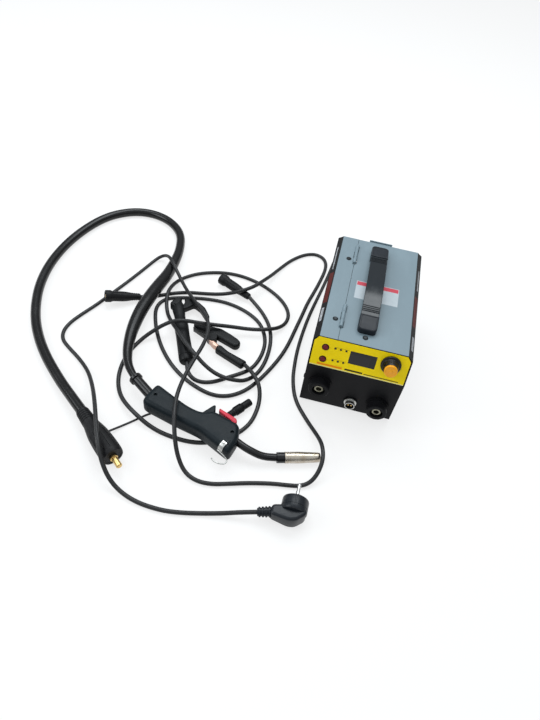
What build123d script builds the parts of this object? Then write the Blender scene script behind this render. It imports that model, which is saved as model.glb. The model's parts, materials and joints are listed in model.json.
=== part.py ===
from build123d import *
import math
import os

os.makedirs("parts", exist_ok=True)

# Compact MIG welder with its torch, earth clamp, electrode holder and leads laid out on the floor.
# Millimetres. The origin is on the floor under the middle of the case, +Y to the rear, +Z up.

# Case
case_width = 150.0
case_length = 258.0
case_top = 147.0
foot_height = 5.0
foot_radius = 8.0
foot_inset = 18.0
sheet = 1.5
corner_in = 8.5
corner_drop = 7.5
tray_flange = 16.0
panel_gap = 0.2
strip_flange = 25.5
lid_flange = 8.0
vent_length = 26.0
vent_height = 3.0
vent_pitch = 8.0
vent_rows = 6
vent_columns = 3
vent_middle = 78.0

# Lid, its hinges and the carrying strap
seam_x = -39.0
lid_gap = 0.3
lid_end_gap = 0.4
hinge_places = (82.0, -77.0)
hinge_length = 50.0
hinge_radius = 3.0
hinge_rise = 1.6
pin_radius = 1.3
running_gap = 0.05
knuckle_gap = 0.4
lid_knuckle = 18.0
tab_width = 40.0
tab_middle = 0.0
tab_reach = 3.0
tab_lip = 2.4
strap_width = 28.0
strap_thickness = 3.5
strap_front = -74.5
strap_rear = 73.0
strap_end_height = 9.0
strap_bow = 6.0
cap_front_length = 30.0
cap_rear_length = 34.0
cap_toe = 9.4
cap_side = 0.3
cap_lip = 1.2
cap_slope_share = 0.3
cap_corner = 7.0
screw_head_radius = 4.2
screw_head_height = 1.8
screw_radius = 1.5
screw_length = 4.5
screw_hole_gap = 0.1
strip_screw_x = -49.5
strip_screw_places = (68.0, -86.0)
lid_screw_place = (0.0, -112.3)
side_screw_height = 14.0
side_screw_places = (-95.0, 95.0)

# Front moulding: a leaning control face above and a plain socket face below its ridge
ridge_height = 97.0
ridge_reach = 14.0
toe_reach = 8.0
bezel_wall = 3.0
overlay_side = 2.6
overlay_thickness = 0.8
overlay_top = 1.4
overlay_bottom = 50.6
button_inset = 21.0
button_rows = (16.5, 37.4)
button_radius = 4.2
button_gap = 0.3
button_proud = 2.5
button_travel = 1.5
light_insets = (35.8, 44.0, 52.4)
light_rows = (15.4, 36.3)
light_radius = 1.6
light_gap = 0.2
light_proud = 1.2
window_middle = (3.9, 23.9)
window_width = 40.0
window_height = 21.5
window_thickness = 2.5
window_gap = 0.2
board_depth = 10.0
board_thickness = 1.6
board_side = 9.0
board_top = 8.0
board_bottom = 46.0
board_post_inset = 4.0
board_standoff = 2.5
key_switch = 6.0
module_margin = 1.0
knob_inset = 29.4
knob_down = 20.2
knob_skirt_radius = 15.2
knob_skirt_height = 5.0
knob_grip_radius = 11.6
knob_height = 17.5
knob_cap_radius = 9.8
knob_cap_height = 3.5
knob_clearance = 0.4
shaft_radius = 3.0
bush_radius = 4.5
bush_reach = 3.2

# Sockets on the lower face
socket_left = (-48.5, 57.0)
socket_right = (48.0, 36.0)
socket_boss_radius = 18.0
socket_boss_reach = 14.5
socket_collar_radius = 16.0
socket_collar_reach = 28.0
socket_body_radius = 13.0
socket_body_depth = 4.0
socket_mouth_radius = 10.2
socket_floor_reach = 10.0
insert_radius = 7.5
insert_bore = 4.55
insert_reach = 25.0
insert_tail = 10.0
control_place = (6.0, 28.0)
control_boss_radius = 11.0
control_boss_reach = 11.5
control_radius = 8.0
control_reach = 20.0
control_wall = 1.4
control_floor = 12.0
control_pin_radius = 1.2
control_pin_spread = 2.4
control_pin_recess = 2.0

# Rear panel, fan, switch and cable gland
rear_thickness = 2.0
fan_side_gap = 3.5
fan_height = 84.0
fan_size = 60.0
fan_depth = 15.0
fan_bore = 28.0
fan_hub_radius = 11.0
fan_blades = 7
fan_blade_reach = 26.5
fan_blade_width = 13.0
fan_blade_thickness = 1.2
fan_pitch = 35.0
fan_pin_radius = 1.5
fan_spider = 2.0
grille_slots = 7
grille_slot_height = 4.0
grille_pitch = 7.4
switch_place = (40.0, 104.0)
switch_flange = (26.0, 34.0)
switch_body_size = (21.0, 29.0)
switch_proud = 3.0
switch_depth = 16.0
rocker_width = 14.4
rocker_height = 20.0
rocker_room = 1.6
rocker_throw = 18.0
rocker_pin_radius = 1.8
gland_place = (-38.0, 28.25)
gland_length = 19.0
gland_flange_radius = 10.0
gland_thread_radius = 7.0

# Inside: divider with the spool hub, wire drive, power electronics
divider_fan_gap = 2.0
divider_front_gap = 18.0
divider_rear_gap = 4.0
divider_top = 138.0
spool_y = 62.0
spool_height = 70.0
spool_radius = 50.0
spool_width = 45.0
spool_core_radius = 20.0
spool_rim = 2.5
spool_fill_radius = 43.0
hub_radius = 8.0
spool_side_gap = 0.5
hub_nut_radius = 14.0
hub_nut_height = 6.0
drive_y = -62.0
drive_radius = 12.0
drive_width = 10.0
feeder_plate = 5.0
feeder_plate_gap = 1.0
motor_radius = 14.5
motor_length = 40.0
pressure_radius = 10.0
pressure_width = 8.0
wire_gap = 0.8
arm_pivot = (-36.0, 47.0)
arm_pin_radius = 3.0
arm_thickness = 4.0
arm_front_y = -88.0
arm_half_height = 5.0
tension_radius = 6.0
tension_height = 22.0
guide_radius = 3.0
guide_bore = 1.2
guide_block = 10.0
guide_wall = 2.4
sink_box = (54.0, 88.0, 44.0)
sink_y = 38.0
sink_base = 6.0
sink_fins = 8
sink_fin = 2.2
board_box = (54.0, 190.0)
power_board_height = 60.0
transformer_box = (42.0, 44.0, 34.0)
transformer_shift = -10.0
capacitor_radius = 11.0
capacitor_height = 40.0
capacitor_pitch = 26.0
capacitor_shift = 45.0
block_box = (12.0, 16.0, 22.0)
block_pitch = (18.0, 24.0)
block_shift = -65.0
power_board_y = 0.0
board_post_radius = 3.0

# Leads and hose
lead_diameter = 7.0
mains_diameter = 6.5
trigger_lead_diameter = 3.5
hose_diameter = 17.0
bend_share = 0.45

# Torch, lying on its side on top of the earth lead
torch_bottom = 7.3
torch_thickness = 30.0
torch_wall = 3.6
torch_edge = 5.0
trigger_thickness = 10.0
trigger_pivot = (-163.0, -239.0)
trigger_pin_radius = 1.5
trigger_slot = 16.0
trigger_lean = -19.0
neck_radius = 5.75
nozzle_radius = 8.7
nozzle_tip_radius = 7.2
nozzle_length = 54.0
nozzle_wall = 1.3
collar_length = 13.0
collar_radius = 8.2
hook_wire = 1.0
hook_plate = 1.2
relief_radius = 8.2
relief_flange_radius = 10.5

# Plugs
boot_front_radius = 17.0
boot_rear_radius = 11.0
plug_pin_radius = 4.5
plug_pin_length = 19.0
small_boot_radius = 11.0
small_boot_tail = 6.0
small_boot_step = 2.0
small_mouth_radius = 8.0
small_mouth_depth = 20.0
schuko_radius = 19.0
wedge_back = (17.0, 19.0, 5.0)
wedge_front = (24.0, 28.0, 7.0)
schuko_pin_radius = 2.4
schuko_pin_length = 19.0
schuko_pin_spread = 9.5
head_length = 22.0
sleeve_length = 22.0
sleeve_tail_radius = 6.5
sleeve_body_radius = 7.8
wedge_end = (-36.0, -353.0, 17.0)

# Earth clamp and electrode holder
clamp_bottom = 2.0
clamp_thickness = 14.0
clamp_pivot = (-248.5, -60.0)
clamp_corner = 2.0
clamp_pin_radius = 2.5
clamp_ear = 4.0
clamp_ear_radius = 9.0
holder_head_low = 2.0
holder_head_height = 18.0
holder_seat_radius = 8.0
holder_hub_radius = 6.0
holder_pivot = (-317.0, -9.0)
holder_radius = 11.0
holder_lever_thickness = 12.0

half_width = case_width / 2
front_y = -case_length / 2
rear_y = case_length / 2
top_half = half_width - corner_in
tray_top = foot_height + sheet
plate_under = case_top - sheet
hinge_z = case_top + hinge_rise
ridge_y = front_y - ridge_reach
toe_y = front_y - toe_reach
lean = math.atan2(ridge_reach, case_top - ridge_height)
face = Plane(
    origin=(0, front_y, case_top),
    x_dir=(1, 0, 0),
    z_dir=(0, -math.cos(lean), math.sin(lean)),
)
case_outline = [
    (-half_width, foot_height),
    (half_width, foot_height),
    (half_width, case_top - corner_drop),
    (top_half, case_top),
    (-top_half, case_top),
    (-half_width, case_top - corner_drop),
]
wire_line = (socket_right[0], socket_right[1])
button_x = button_inset - half_width
light_columns = [inset - half_width for inset in light_insets]
knob_place = (half_width - knob_inset, knob_down)
fan_x = fan_size / 2 + fan_side_gap + sheet - half_width
divider_x = fan_x + fan_size / 2 + divider_fan_gap


def axis_plane(start, end):
    """A plane at start whose normal points to end."""
    return Plane(origin=start, z_dir=Vector(*end) - Vector(*start))


def along(start, end, distance):
    """The point at that distance from start on the line to end."""
    step = (Vector(*end) - Vector(*start)).normalized()
    return tuple(Vector(*start) + step * distance)


def span(start, end):
    """The distance from start to end."""
    return (Vector(*end) - Vector(*start)).length


def turn(place, profile, mode=Mode.ADD):
    """Turns a profile of (radius, height) points about the normal of a plane."""
    half_plane = Plane(origin=place.origin, x_dir=place.x_dir, z_dir=-place.y_dir)
    with BuildSketch(half_plane) as outline:
        with BuildLine():
            Polyline(*profile, close=True)
        make_face()
    revolve(outline.sketch.faces(), axis=Axis(place.origin, place.z_dir), mode=mode)


def prism(place, points, height, corner=0.0, mode=Mode.ADD):
    """Extrudes a closed outline from a plane along its normal, with rounded corners if asked."""
    with BuildSketch(place) as outline:
        with BuildLine():
            Polyline(*points, close=True)
        make_face()
        if corner:
            fillet(outline.vertices(), corner)
    extrude(outline.sketch.faces(), amount=height, mode=mode)


def rod(place, radius, height, mode=Mode.ADD):
    """A round bar from a plane along its normal."""
    with BuildSketch(place) as outline:
        Circle(radius)
    extrude(outline.sketch.faces(), amount=height, mode=mode)


def bend_radii(points):
    """The largest arc that each corner's two runs allow."""
    radii = []
    for before, corner, after in zip(points, points[1:], points[2:]):
        first = Vector(*corner) - Vector(*before)
        second = Vector(*after) - Vector(*corner)
        half_turn = math.radians(first.get_angle(second)) / 2
        radii.append(bend_share * min(first.length, second.length) / math.tan(half_turn))
    return radii


def laid(route, diameter):
    """Route points (x, y, height of the underside) as points of the lead's centre line."""
    return [(x, y, diameter / 2 + lift) for x, y, lift in route]


def gap_to_itself(wire, diameter):
    """The least gap between stretches of a lead that are well apart along it."""
    steps = int(wire.length / (diameter / 2))
    spots = [tuple(wire.position_at(step / steps)) for step in range(steps + 1)]
    apart = 4 * math.ceil(wire.length / steps + 2)
    nearest = min(
        math.dist(spots[first], spots[second])
        for first in range(steps + 1)
        for second in range(first + apart, steps + 1)
    )
    return nearest - diameter


def tube(name, points, diameter):
    """Sweeps a round lead along straight runs joined by tangent arcs, and prints its measures."""
    radii = bend_radii(points)
    with BuildLine() as path:
        FilletPolyline(*points, radius=radii)
    wire = path.wires()[0]
    with BuildSketch(axis_plane(points[0], points[1])) as section:
        Circle(diameter / 2)
    made = sweep(section.sketch.faces(), path=wire)
    share = made.volume / (math.pi * diameter**2 / 4 * wire.length)
    print(name, "length", round(wire.length), "smallest radius", round(min(radii), 1))
    print(name, "radii", [round(radius) for radius in radii])
    print(name, "volume share", round(share, 4), "gap", round(gap_to_itself(wire, diameter), 2))


# Base tray: floor plate with upturned side flanges
with BuildPart() as base_tray:
    with Locations((0, 0, foot_height)):
        Box(
            case_width - 2 * sheet,
            case_length,
            sheet,
            align=(Align.CENTER, Align.CENTER, Align.MIN),
        )
    for side in (-1, 1):
        with Locations((side * (half_width - 1.5 * sheet), 0, foot_height)):
            Box(sheet, case_length, tray_flange, align=(Align.CENTER, Align.CENTER, Align.MIN))
    for side in (-1, 1):
        for y in side_screw_places:
            hole = Plane(origin=(side * half_width, y, side_screw_height), z_dir=(-side, 0, 0))
            rod(hole, screw_radius + screw_hole_gap, 4 * sheet, mode=Mode.SUBTRACT)
base_tray.part.label = "base_tray"
export_step(base_tray.part, "parts/base_tray.step")


def side_panel(side, flange):
    """One side of the case: wall, sloped shoulder and the ledge under the top plates."""
    outer = half_width
    inner = half_width - sheet
    points = [
        (outer, foot_height),
        (outer, case_top - corner_drop),
        (top_half + panel_gap, case_top - panel_gap),
        (top_half + panel_gap, plate_under),
        (top_half - flange, plate_under),
        (top_half - flange, plate_under - sheet),
        (top_half, plate_under - sheet),
        (inner, case_top - corner_drop - sheet),
        (inner, foot_height),
    ]
    back = Plane(origin=(0, rear_y, 0), x_dir=(1, 0, 0), z_dir=(0, -1, 0))
    prism(back, [(side * x, z) for x, z in points], case_length)
    wall = Plane(origin=(side * half_width, 0, vent_middle), x_dir=(0, 1, 0), z_dir=(side, 0, 0))
    with BuildSketch(wall) as vents:
        with GridLocations(1.5 * vent_length, vent_pitch, vent_columns, vent_rows):
            SlotOverall(vent_length, vent_height)
    extrude(vents.sketch.faces(), amount=2 * sheet, both=True, mode=Mode.SUBTRACT)
    for y in side_screw_places:
        hole = Plane(origin=(side * half_width, y, side_screw_height), z_dir=(-side, 0, 0))
        rod(hole, screw_radius + screw_hole_gap, 2 * sheet, mode=Mode.SUBTRACT)


with BuildPart() as side_panel_left:
    side_panel(-1, strip_flange)
    for y in strip_screw_places:
        hole = Plane(origin=(strip_screw_x, y, case_top), z_dir=(0, 0, -1))
        rod(hole, screw_radius + screw_hole_gap, 4 * sheet, mode=Mode.SUBTRACT)
side_panel_left.part.label = "side_panel_left"
export_step(side_panel_left.part, "parts/side_panel_left.step")

with BuildPart() as side_panel_right:
    side_panel(1, lid_flange)
side_panel_right.part.label = "side_panel_right"
export_step(side_panel_right.part, "parts/side_panel_right.step")


def knuckle(start, end, side):
    """A hinge knuckle between two y places, with its web to the plate on one side of the seam."""
    barrel = Plane(origin=(seam_x, end, hinge_z), z_dir=(0, -1, 0))
    rod(barrel, hinge_radius, end - start)
    with Locations((seam_x, (start + end) / 2, plate_under)):
        Box(
            2 * hinge_radius,
            end - start,
            sheet,
            align=(Align.MAX if side < 0 else Align.MIN, Align.CENTER, Align.MIN),
        )
    rod(barrel, pin_radius + running_gap, end - start, mode=Mode.SUBTRACT)


def fixed_spans(middle):
    """The y spans of the two outer knuckles of a hinge."""
    inner = lid_knuckle / 2 + knuckle_gap
    return [
        (middle - hinge_length / 2, middle - inner),
        (middle + inner, middle + hinge_length / 2),
    ]


def hinge_notch(middle, length, side):
    """Cuts a plate's edge clear of the other plate's knuckles."""
    with Locations((seam_x, middle, case_top)):
        Box(
            hinge_radius + 2 * lid_gap,
            length,
            6 * hinge_radius,
            align=(Align.MIN if side > 0 else Align.MAX, Align.CENTER, Align.CENTER),
            mode=Mode.SUBTRACT,
        )


# Fixed strip of the top, left of the seam, with the outer hinge knuckles
with BuildPart() as top_strip:
    with Locations((-top_half, 0, plate_under)):
        Box(
            seam_x - lid_gap + top_half,
            case_length,
            sheet,
            align=(Align.MIN, Align.CENTER, Align.MIN),
        )
    for place in hinge_places:
        hinge_notch(place, lid_knuckle + 2 * knuckle_gap, -1)
        for start, end in fixed_spans(place):
            knuckle(start, end, -1)
    for y in strip_screw_places:
        hole = Plane(origin=(strip_screw_x, y, case_top), z_dir=(0, 0, -1))
        rod(hole, screw_radius + screw_hole_gap, 2 * sheet, mode=Mode.SUBTRACT)
top_strip.part.label = "top_strip"
export_step(top_strip.part, "parts/top_strip.step")

# Lid: plate, middle hinge knuckles and the finger tab at the rear edge
with BuildPart() as lid:
    with Locations((seam_x + lid_gap, 0, plate_under)):
        Box(
            top_half - seam_x - lid_gap,
            case_length - 2 * lid_end_gap,
            sheet,
            align=(Align.MIN, Align.CENTER, Align.MIN),
        )
    for place in hinge_places:
        for start, end in fixed_spans(place):
            hinge_notch((start + end) / 2, end - start + 2 * knuckle_gap, 1)
        knuckle(place - lid_knuckle / 2, place + lid_knuckle / 2, 1)
    with Locations((tab_middle, rear_y - lid_end_gap, plate_under)):
        Box(tab_width, tab_reach, sheet, align=(Align.CENTER, Align.MIN, Align.MIN))
    with Locations((tab_middle, rear_y - lid_end_gap + tab_reach, plate_under)):
        Box(tab_width, sheet, sheet + tab_lip, align=(Align.CENTER, Align.MAX, Align.MIN))
    with Locations((*lid_screw_place, case_top)):
        Hole(screw_radius + screw_hole_gap)
lid.part.label = "lid"
export_step(lid.part, "parts/lid.step")

with BuildPart() as hinge_pins:
    for place in hinge_places:
        pin_end = Plane(origin=(seam_x, place + hinge_length / 2, hinge_z), z_dir=(0, -1, 0))
        rod(pin_end, pin_radius, hinge_length)
hinge_pins.part.label = "hinge_pins"
export_step(hinge_pins.part, "parts/hinge_pins.step")

# Screws: dome heads on the fixed strip and the sides, and one on the lid
screw_profile = [
    (0, -screw_length),
    (screw_radius, -screw_length),
    (screw_radius, 0),
    (screw_head_radius, 0),
    (screw_head_radius, 0.4 * screw_head_height),
    (0.6 * screw_head_radius, screw_head_height),
    (0, screw_head_height),
]
with BuildPart() as case_screws:
    for y in strip_screw_places:
        turn(Plane(origin=(strip_screw_x, y, case_top)), screw_profile)
    for side in (-1, 1):
        for y in side_screw_places:
            turn(
                Plane(origin=(side * half_width, y, side_screw_height), z_dir=(side, 0, 0)),
                screw_profile,
            )
case_screws.part.label = "case_screws"
export_step(case_screws.part, "parts/case_screws.step")

with BuildPart() as lid_screw:
    turn(Plane(origin=(*lid_screw_place, case_top)), screw_profile)
lid_screw.part.label = "lid_screw"
export_step(lid_screw.part, "parts/lid_screw.step")

with BuildPart() as feet:
    foot_x = half_width - foot_inset
    foot_y = rear_y - foot_inset
    with Locations((0, 0, 0)):
        with GridLocations(2 * foot_x, 2 * foot_y, 2, 2):
            Cone(
                foot_radius - 1,
                foot_radius,
                foot_height,
                align=(Align.CENTER, Align.CENTER, Align.MIN),
            )
feet.part.label = "feet"
export_step(feet.part, "parts/feet.step")

# Carrying strap, bowed over the lid between two end caps
strap_low = case_top + strap_end_height
strap_high = strap_low + strap_thickness
strap_middle = (strap_front + strap_rear) / 2
strap_side = Plane(origin=(-strap_width / 2, 0, 0), x_dir=(0, 1, 0), z_dir=(1, 0, 0))
with BuildPart() as handle_strap:
    with BuildSketch(strap_side):
        with BuildLine():
            ThreePointArc(
                (strap_front, strap_low),
                (strap_middle, strap_low + strap_bow),
                (strap_rear, strap_low),
            )
            Line((strap_rear, strap_low), (strap_rear, strap_high))
            ThreePointArc(
                (strap_rear, strap_high),
                (strap_middle, strap_high + strap_bow),
                (strap_front, strap_high),
            )
            Line((strap_front, strap_high), (strap_front, strap_low))
        make_face()
    extrude(amount=strap_width)
handle_strap.part.label = "handle_strap"
export_step(handle_strap.part, "parts/handle_strap.step")


def strap_cap(inner_y, outer_y):
    """An end cap that slopes down from the strap to the lid."""
    step = 1 if outer_y > inner_y else -1
    block = Plane(
        origin=(-strap_width / 2 - cap_side, 0, 0), x_dir=(0, 1, 0), z_dir=(1, 0, 0)
    )
    points = [
        (inner_y, case_top),
        (inner_y, strap_high + cap_lip),
        (outer_y - step * cap_slope_share * abs(outer_y - inner_y), strap_high),
        (outer_y, case_top + cap_toe),
        (outer_y, case_top),
    ]
    prism(block, points, strap_width + 2 * cap_side)


with BuildPart() as handle_caps:
    strap_cap(strap_front, strap_front - cap_front_length)
    strap_cap(strap_rear, strap_rear + cap_rear_length)
    upright = handle_caps.edges().filter_by(Axis.Z).sort_by(Axis.Y)
    fillet(upright[:2] + upright[-2:], cap_corner)
handle_caps.part.label = "handle_caps"
export_step(handle_caps.part, "parts/handle_caps.step")

# Front moulding: a hollow wedge with bosses for the sockets and holes for the controls
bezel_profile = [
    (front_y, case_top),
    (ridge_y, ridge_height),
    (toe_y, foot_height),
    (front_y, foot_height),
]
behind = 2 * bezel_wall
pocket_profile = [
    (front_y + behind, case_top + behind / math.tan(lean)),
    (ridge_y, ridge_height),
    (toe_y, foot_height),
    (front_y + behind, foot_height),
]
side_view = Plane(origin=(-half_width, 0, 0), x_dir=(0, 1, 0), z_dir=(1, 0, 0))
front_view = Plane(origin=(0, front_y, 0), x_dir=(1, 0, 0), z_dir=(0, -1, 0))
with BuildPart() as front_bezel:
    prism(front_view, case_outline, ridge_reach)
    prism(side_view, bezel_profile, case_width, mode=Mode.INTERSECT)
    with BuildSketch(side_view.offset(bezel_wall)) as pocket:
        with BuildLine():
            Polyline(*pocket_profile, close=True)
        make_face()
        offset(amount=-bezel_wall, kind=Kind.INTERSECTION, mode=Mode.REPLACE)
    extrude(amount=case_width - 2 * bezel_wall, mode=Mode.SUBTRACT)
    for x, z in (socket_left, socket_right):
        rod(Plane(origin=(x, front_y, z), z_dir=(0, -1, 0)), socket_boss_radius, socket_boss_reach)
        rod(
            Plane(origin=(x, front_y, z), z_dir=(0, -1, 0)),
            socket_body_radius + button_gap,
            socket_boss_reach,
            mode=Mode.SUBTRACT,
        )
    control_front = Plane(
        origin=(control_place[0], front_y, control_place[1]), x_dir=(1, 0, 0), z_dir=(0, -1, 0)
    )
    rod(control_front, control_boss_radius, control_boss_reach)
    rod(control_front, control_radius + button_gap, control_boss_reach, mode=Mode.SUBTRACT)
    with BuildSketch(face) as openings:
        with Locations(*[(button_x, -row) for row in button_rows]):
            Circle(button_radius + button_gap)
        with Locations(*[(x, -row) for x in light_columns for row in light_rows]):
            Circle(light_radius + light_gap)
        with Locations((window_middle[0], -window_middle[1])):
            Rectangle(window_width + 2 * window_gap, window_height + 2 * window_gap)
        with Locations((knob_place[0], -knob_place[1])):
            Circle(bush_radius + button_gap)
    extrude(amount=2 * bezel_wall, both=True, mode=Mode.SUBTRACT)
front_bezel.part.label = "front_bezel"
export_step(front_bezel.part, "parts/front_bezel.step")

# Printed control panel on the leaning face
overlay_corner = corner_in - overlay_side
overlay_half = half_width - overlay_side
with BuildPart() as front_overlay:
    with BuildSketch(face):
        with BuildLine():
            Polyline(
                (-overlay_half, -overlay_bottom),
                (overlay_half, -overlay_bottom),
                (overlay_half, -overlay_top - corner_drop),
                (overlay_half - overlay_corner, -overlay_top),
                (-overlay_half + overlay_corner, -overlay_top),
                (-overlay_half, -overlay_top - corner_drop),
                close=True,
            )
        make_face()
        with Locations(*[(button_x, -row) for row in button_rows]):
            Circle(button_radius + button_gap, mode=Mode.SUBTRACT)
        with Locations(*[(x, -row) for x in light_columns for row in light_rows]):
            Circle(light_radius + light_gap, mode=Mode.SUBTRACT)
        with Locations((window_middle[0], -window_middle[1])):
            Rectangle(
                window_width + 2 * window_gap,
                window_height + 2 * window_gap,
                mode=Mode.SUBTRACT,
            )
        with Locations((knob_place[0], -knob_place[1])):
            Circle(bush_radius + button_gap, mode=Mode.SUBTRACT)
    extrude(amount=overlay_thickness)
front_overlay.part.label = "front_overlay"
export_step(front_overlay.part, "parts/front_overlay.step")

window_back = overlay_thickness - window_thickness
with BuildPart() as display_window:
    with BuildSketch(face.offset(window_back)):
        with Locations((window_middle[0], -window_middle[1])):
            Rectangle(window_width, window_height)
    extrude(amount=window_thickness)
display_window.part.label = "display_window"
export_step(display_window.part, "parts/display_window.step")

# Control board with its standoffs, display module, key switches and the knob's bush
board_front = face.offset(-board_depth)
board_half = half_width - board_side
button_back = board_depth - button_travel - 2 * knob_clearance
with BuildPart() as control_board:
    with BuildSketch(face.offset(-board_depth - board_thickness)):
        with BuildLine():
            Polyline(
                (-board_half, -board_bottom),
                (board_half, -board_bottom),
                (board_half, -board_top),
                (-board_half, -board_top),
                close=True,
            )
        make_face()
    extrude(amount=board_thickness)
    with BuildSketch(board_front):
        board_middle = -(board_top + board_bottom) / 2
        with Locations((0, board_middle)):
            with GridLocations(
                2 * (board_half - board_post_inset), board_bottom - board_top - 2 * board_post_inset, 2, 2
            ):
                Circle(board_standoff)
    extrude(amount=board_depth - bezel_wall)
    with BuildSketch(board_front):
        with Locations((window_middle[0], -window_middle[1])):
            Rectangle(window_width - 2 * module_margin, window_height - 2 * module_margin)
    extrude(amount=board_depth + window_back)
    with BuildSketch(board_front):
        with Locations(*[(button_x, -row) for row in button_rows]):
            Rectangle(key_switch, key_switch)
    extrude(amount=board_depth - button_back - button_travel - knob_clearance)
    with BuildSketch(board_front):
        with Locations((knob_place[0], -knob_place[1])):
            Circle(bush_radius)
    extrude(amount=board_depth + bush_reach)
    with BuildSketch(board_front):
        with Locations((knob_place[0], -knob_place[1])):
            Circle(shaft_radius + running_gap)
    extrude(amount=board_depth + bush_reach, mode=Mode.SUBTRACT)
control_board.part.label = "control_board"
export_step(control_board.part, "parts/control_board.step")


def push_button(row):
    """A button with a rounded front edge, on the leaning face."""
    front = face.offset(button_proud)
    with BuildSketch(front) as cap:
        with Locations((button_x, -row)):
            Circle(button_radius)
    extrude(cap.sketch.faces(), amount=-(button_proud + button_back))


with BuildPart() as button_upper:
    push_button(button_rows[0])
    chamfer(button_upper.faces().sort_by(Axis((0, 0, 0), face.z_dir))[-1].edges(), 0.6)
button_upper.part.label = "button_upper"
export_step(button_upper.part, "parts/button_upper.step")

with BuildPart() as button_lower:
    push_button(button_rows[1])
    chamfer(button_lower.faces().sort_by(Axis((0, 0, 0), face.z_dir))[-1].edges(), 0.6)
button_lower.part.label = "button_lower"
export_step(button_lower.part, "parts/button_lower.step")

with BuildPart() as indicator_lights:
    for x in light_columns:
        for row in light_rows:
            seat = Plane(
                origin=board_front.from_local_coords((x, -row, 0)),
                x_dir=(1, 0, 0),
                z_dir=face.z_dir,
            )
            lamp = board_depth + light_proud
            turn(
                seat,
                [
                    (0, 0),
                    (light_radius, 0),
                    (light_radius, lamp - 0.5 * light_radius),
                    (0.6 * light_radius, lamp),
                    (0, lamp),
                ],
            )
indicator_lights.part.label = "indicator_lights"
export_step(indicator_lights.part, "parts/indicator_lights.step")

# Rotary knob: black skirt and grip on the shaft, coloured cap on top
knob_seat = Plane(
    origin=face.from_local_coords((knob_place[0], -knob_place[1], 0)),
    x_dir=(1, 0, 0),
    z_dir=face.z_dir,
)
knob_low = overlay_thickness + knob_clearance
knob_profile = [
    (0, -board_depth + knob_clearance),
    (shaft_radius, -board_depth + knob_clearance),
    (shaft_radius, bush_reach + knob_clearance),
    (bush_radius + knob_clearance, bush_reach + knob_clearance),
    (bush_radius + knob_clearance, knob_low),
    (knob_skirt_radius, knob_low),
    (knob_skirt_radius, knob_low + 0.5 * knob_skirt_height),
    (knob_skirt_radius - 1.5, knob_skirt_height),
    (knob_grip_radius, knob_skirt_height + 0.5),
    (knob_cap_radius + 0.6, knob_height),
    (0, knob_height),
]
with BuildPart() as knob:
    turn(knob_seat, knob_profile)
knob.part.label = "knob"
export_step(knob.part, "parts/knob.step")

knob_cap_profile = [
    (0, knob_height),
    (knob_cap_radius, knob_height),
    (knob_cap_radius, knob_height + 0.6 * knob_cap_height),
    (0.8 * knob_cap_radius, knob_height + knob_cap_height),
    (0, knob_height + knob_cap_height),
]
with BuildPart() as knob_cap:
    turn(knob_seat, knob_cap_profile)
knob_cap.part.label = "knob_cap"
export_step(knob_cap.part, "parts/knob_cap.step")

# Welding sockets: black collars with brass inserts that take the plug pins
collar_profile = [
    (insert_radius, -socket_body_depth),
    (socket_body_radius, -socket_body_depth),
    (socket_body_radius, socket_boss_reach),
    (socket_collar_radius, socket_boss_reach),
    (socket_collar_radius, socket_collar_reach - 1),
    (socket_collar_radius - 1, socket_collar_reach),
    (socket_mouth_radius, socket_collar_reach),
    (socket_mouth_radius, socket_floor_reach),
    (insert_radius, socket_floor_reach),
]
insert_profile = [
    (insert_bore, -insert_tail),
    (insert_radius, -insert_tail),
    (insert_radius, insert_reach - 0.8),
    (insert_radius - 0.8, insert_reach),
    (insert_bore, insert_reach),
]
with BuildPart() as socket_collars:
    for x, z in (socket_left, socket_right):
        turn(Plane(origin=(x, front_y, z), z_dir=(0, -1, 0)), collar_profile)
socket_collars.part.label = "socket_collars"
export_step(socket_collars.part, "parts/socket_collars.step")

with BuildPart() as socket_inserts:
    for x, z in (socket_left, socket_right):
        turn(Plane(origin=(x, front_y, z), z_dir=(0, -1, 0)), insert_profile)
socket_inserts.part.label = "socket_inserts"
export_step(socket_inserts.part, "parts/socket_inserts.step")

# Round control socket with two pins
control_profile = [
    (0, 0),
    (control_radius, 0),
    (control_radius, control_boss_reach),
    (control_boss_radius - 1, control_boss_reach),
    (control_boss_radius - 1, control_boss_reach + 1.5),
    (control_radius, control_boss_reach + 1.5),
    (control_radius, control_reach),
    (control_radius - control_wall, control_reach),
    (control_radius - control_wall, control_floor),
    (0, control_floor),
]
with BuildPart() as control_socket:
    turn(control_front, control_profile)
control_socket.part.label = "control_socket"
export_step(control_socket.part, "parts/control_socket.step")

with BuildPart() as control_pins:
    with BuildSketch(control_front.offset(control_floor)):
        with Locations((-control_pin_spread, 0), (control_pin_spread, 0)):
            Circle(control_pin_radius)
    extrude(amount=control_reach - control_floor - control_pin_recess)
control_pins.part.label = "control_pins"
export_step(control_pins.part, "parts/control_pins.step")

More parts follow.
